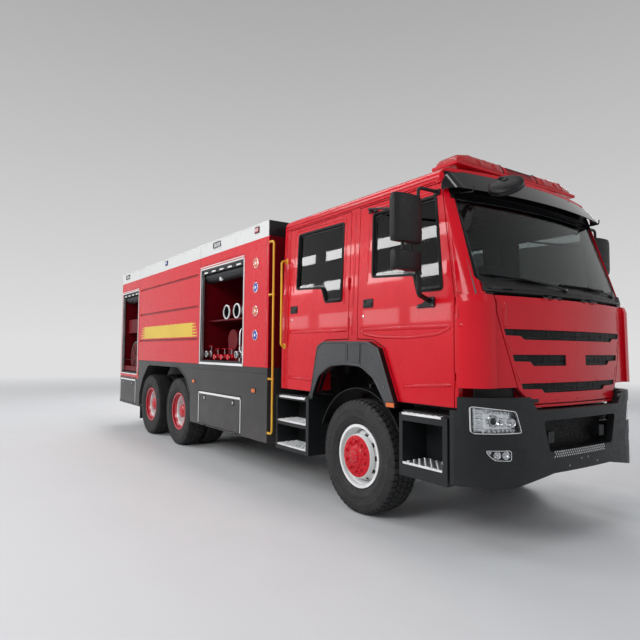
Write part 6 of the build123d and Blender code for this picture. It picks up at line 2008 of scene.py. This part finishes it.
def add_monitor():
    base = Kit("monitor_base_detail", "chassis", "red_paint")
    x = JOINTS["monitor_pan"]["pos_m"][0]
    for bolt in ring_of(8, 0.085, (x, 0.0, 3.138), 0.5, "z"):
        base.bolt(bolt, DOWN, 0.008, 0.010, STEEL)
    base.lathe(((0.072, 0.0), (0.082, 0.004), (0.082, 0.020), (0.072, 0.026)), (x, 0, 3.00), UP, RED, 32)
    base.lathe(((0.074, 0.0), (0.100, 0.002), (0.100, 0.016), (0.074, 0.018)), (x, 0, 2.952), UP, RED, 32)
    base.done()
    turret = Kit("monitor_turret_detail", "monitor_turret", "red_paint")
    for bolt in ring_of(8, 0.086, (x, 0.0, 3.2495), 0.5, "z"):
        turret.bolt(bolt, UP, 0.0075, 0.009, STEEL)
    for sign in (-1, 1):
        cap = ((0.046, 0.0), (0.046, 0.006), (0.030, 0.012), (0.010, 0.013))
        turret.lathe(cap, (x, sign * 0.0995, TILT_Z), (0, sign, 0), RED, 28)
        for bolt in ring_of(6, 0.037, (x, sign * 0.1055, TILT_Z)):
            turret.bolt(bolt, (0, sign, 0), 0.005, 0.004, STEEL)
    turret.box((x - 0.050, 0.112, 3.262), (x + 0.030, 0.160, 3.330), CAST, 0.008)
    hub = (x - 0.01, 0.188, 3.296)
    turret.tube(((x - 0.01, 0.158, 3.296), (x - 0.01, 0.186, 3.296)), 0.008, STEEL)
    turret.lathe(hoop(0.052, 0.006), hub, LEFT, BLACK, 28, True)
    for rim in ring_of(3, 0.052, hub):
        turret.tube((hub, rim), 0.004, BLACK, 0.01, 6)
    turret.done()
    barrel = Kit("monitor_barrel_detail", "monitor_barrel", "red_paint")
    for at, r, width, material in (
        (0.20, 0.0475, 0.012, RED), (0.42, 0.0475, 0.012, RED), (0.60, 0.0475, 0.010, BLACK),
        (0.655, 0.0485, 0.030, BLACK),
    ):
        ring = ((0.044, -0.002), (r, 0.0), (r, width), (0.044, width + 0.002))
        barrel.lathe(ring, (x + at, 0, TILT_Z), AHEAD, material, 32)
    # Rods round the nozzle, but for those at its top
    for a in circle(12):
        y, z = 0.0605 * cos(a), TILT_Z + 0.0605 * sin(a)
        if z < 3.4285:
            barrel.lathe(((0.0035, 0.0), (0.0035, 0.10)), (x + 0.735, y, z), AHEAD, BLACK, 8)
    barrel.done()


add_monitor()


# Inside the cab: head restraints, belts, seat seams, dials and vents
def add_interior():
    kit = Kit("seat_details", "chassis", "seat_fabric")
    x = 0.215
    for y in (-0.60, 0.60):
        loops = []
        for t in (0.0, 0.06, 0.2, 0.5, 0.8, 0.94, 1.0):
            grow = 1 - 0.18 * (2 * t - 1) ** 4
            z = 2.50 + 0.19 * t
            loops.append(
                [(place(x + 0.07 * grow * cos(a) * 0.6), y + 0.135 * grow * sin(a), z) for a in circle(20)]
            )
        kit.loft(loops, CLOTH)
        for dy in (-0.06, 0.06):
            kit.tube(placed((x, y + dy, 2.46), (x, y + dy, 2.53)), 0.006, CHROME, 0.01, 8)
        for dy in (-0.11, 0.0, 0.11):
            kit.tube(placed((0.428, y + dy, 1.88), (0.345, y + dy, 2.36)), 0.004, BLACK, 0.01, 6)
            kit.tube(placed((0.42, y + dy, 1.8445), (0.79, y + dy, 1.8445)), 0.004, BLACK, 0.01, 6)
        sign = -1 if y < 0 else 1
        belt = placed(
            (0.36, y + sign * 0.20, 2.42), (0.46, y + sign * 0.02, 2.0), (0.52, y - sign * 0.20, 1.86)
        )
        kit.tube(belt, 0.012, BLACK, 0.1, 6)
    kit.done()
    dash = Kit("dash_details", "chassis", "black_plastic")
    for y, z, r in ((0.50, 2.000, 0.055), (0.66, 2.000, 0.055), (0.58, 1.945, 0.030)):
        dial = ((r, 0.0), (r, 0.014), (r * 0.88, 0.014), (r * 0.86, 0.002))
        dash.lathe(dial, (place(1.062), y, z), (-1, 0, 0.25), CHROME, 28, True)
    for k in range(4):
        y = -0.75 + k * 0.42
        for i in range(5):
            z = 1.985 + i * 0.014
            dash.block(1.052, 1.062, y - 0.07, y + 0.07, z, z + 0.006, CHARCOAL, 0.001)
    dash.block(1.050, 1.062, -0.14, 0.14, 1.84, 1.95, GLOSS, 0.004)
    for k in range(8):
        y = -0.28 + k * 0.07
        dash.block(1.172, 1.182, y, y + 0.045, 1.80, 1.84, CHARCOAL, 0.002)
    dash.done()


add_interior()


# Under the truck and between cab and body
def add_chassis(side, flip):
    kit = Kit(f"rail_detail_{side}", "chassis", "chassis_paint", flip)
    for k in range(34):
        x = -7.6 + k * 0.255
        # No bolts where the trunnion of the rear springs sits
        if -5.45 < x < -5.15:
            continue
        for z in (0.79, 0.93):
            kit.bolt((place(x), -0.4248, z), RIGHT, 0.012, 0.012, CHASSIS)
    # Air pipes along the rail
    for z in (0.965, 0.945):
        kit.tube(placed((-7.5, -0.432, z), (-1.7, -0.432, z)), 0.006, BLACK, 0.01, 8)
    kit.done()
    flap = Kit(f"mud_flap_ribs_{side}", "chassis", "rubber", flip)
    for k in range(6):
        z = 0.25 + k * 0.04
        flap.block(-6.604, -6.5995, -1.19, -0.69, z, z + 0.010, RUBBER, 0.002)
    for y in (-1.19, -1.06, -0.94, -0.82, -0.69):
        flap.bolt((place(-6.5895), y, 0.475), AHEAD, 0.010, 0.007, STEEL)
    flap.block(-6.5905, -6.586, -1.225, -0.655, 0.455, 0.493, STEEL, 0.001)
    flap.done()
    rails = Kit(f"rail_clamps_{side}", "chassis", "yellow_paint", flip)
    for z in (1.200, 2.207):
        clamp = ((0.0135, 0), (0.0175, 0.003), (0.0175, 0.027), (0.0135, 0.030))
        rails.lathe(clamp, (place(-1.500), -1.237, z - 0.015), UP, YELLOW, 20)
    for z in (0.560, 1.200, 2.207, 2.850):
        rails.disc((place(-1.600), -1.231, z), AHEAD, 0.0185, 0.006, YELLOW, 20)
    rails.done()


both_sides(add_chassis)


# Studio
PALE = 0.74
FLOOR_HALF = 60
# Lamps: place, aim, width, height, power
LAMPS = (
    ((4.5, -9.5, 6.0), (1.5, -0.5, 1.4), 5.0, 3.0, 430),
    ((-5.0, -7.5, 9.5), (-2.0, -0.5, 1.4), 6.0, 3.0, 300),
    ((11.5, 1.5, 5.5), (4.0, 0.0, 1.6), 2.4, 1.6, 70), ((0.0, 0.0, 9.5), (0.0, 0.0, 0.0), 13.0, 1.2, 220),
    ((-11.0, 3.0, 6.0), (-4.0, 0.0, 1.5), 4.0, 3.0, 220), ((-3.0, 9.0, 6.0), (-1.0, 0.0, 1.5), 7.0, 3.0, 300),
)
# Rows of lamps like roof windows, mirrored in the right side:
# height, tallness, power; then X and width of each
LAMP_ROWS = ((3.1, 0.7, 30), (5.9, 0.5, 58), (7.5, 0.5, 58))
ROW_LAMPS = ((-5.6, 1.9), (-8.2, 2.2), (-11.2, 2.4), (-14.6, 2.8), (-18.6, 3.2))


def add_floor():
    s = Shader("floor_pale")
    s.shaded(s.noise(0.6, 3), (0.66, 0.66, 0.665), (0.63, 0.63, 0.635))
    s.roughen(3, 3, 0.5, 0.65)
    # Far from the truck the floor takes the backdrop's tone, so that no edge shows between them
    distance = s.node("VectorMath", operation="LENGTH")
    s.feed(distance.inputs[0], s.spot)
    glow = s.add("Emission", 0, {"Color": (PALE, PALE, PALE * 1.01, 1)})
    far = s.remap(distance.outputs["Value"], 7.0, 26.0, 0.0, 1.0)
    blend = s.add("MixShader", 0, {0: far, 1: s.bsdf.outputs[0], 2: glow})
    out = next(node for node in s.tree.nodes if node.type == "OUTPUT_MATERIAL")
    s.tree.links.new(blend, out.inputs[0])
    mesh = bpy.data.meshes.new("floor")
    corners = [(x * FLOOR_HALF, y * FLOOR_HALF, 0) for x, y in ((-1, -1), (1, -1), (1, 1), (-1, 1))]
    mesh.from_pydata(corners, [], [(0, 1, 2, 3)])
    mesh.materials.append(s.material)
    plane = bpy.data.objects.new("floor", mesh)
    bpy.context.scene.collection.objects.link(plane)


def add_world():
    """Soft sky light, and a pale backdrop wherever the camera, a mirror or glass shows it."""
    world = bpy.data.worlds.new("studio")
    bpy.context.scene.world = world
    world.use_nodes = True
    tree = world.node_tree
    tree.nodes.clear()

    def add(kind, *values, **settings):
        node = tree.nodes.new("ShaderNode" + kind)
        for key, value in settings.items():
            setattr(node, key, value)
        for socket, value in zip(node.inputs, values):
            if isinstance(value, bpy.types.NodeSocket):
                tree.links.new(value, socket)
            else:
                socket.default_value = value
        return node

    soft = add("Background", (0.84, 0.90, 0.96, 1), 0.50)
    rise = add("SeparateXYZ", add("TexCoord").outputs["Generated"]).outputs[2]
    tone = add("MapRange", rise, 0.0, 0.9, PALE, 0.20).outputs[0]
    seen = add("Background", add("CombineXYZ", tone, tone, tone).outputs[0], 1.0)
    path = add("LightPath").outputs
    shown = add("Math", path["Is Camera Ray"], path["Is Glossy Ray"], operation="MAXIMUM")
    shown = add("Math", shown.outputs[0], path["Is Transmission Ray"], operation="MAXIMUM")
    add("OutputWorld", add("MixShader", shown.outputs[0], soft.outputs[0], seen.outputs[0]).outputs[0])


def add_lamps():
    rows = [((x, -14.0, high), (x, 0.0, high), width, tall, power)
            for high, tall, power in LAMP_ROWS for x, width in ROW_LAMPS]
    for k, (spot, aim, width, height, power) in enumerate([*LAMPS, *rows]):
        light = bpy.data.lights.new(f"lamp_{k}", "AREA")
        light.shape = "RECTANGLE"
        light.size, light.size_y = width, height
        light.energy = power
        lamp = bpy.data.objects.new(f"lamp_{k}", light)
        lamp.location = spot
        lamp.rotation_euler = (Vector(aim) - Vector(spot)).to_track_quat("-Z", "Y").to_euler()
        bpy.context.scene.collection.objects.link(lamp)


add_floor()
add_world()
add_lamps()
bpy.context.scene.view_settings.view_transform = "Standard"
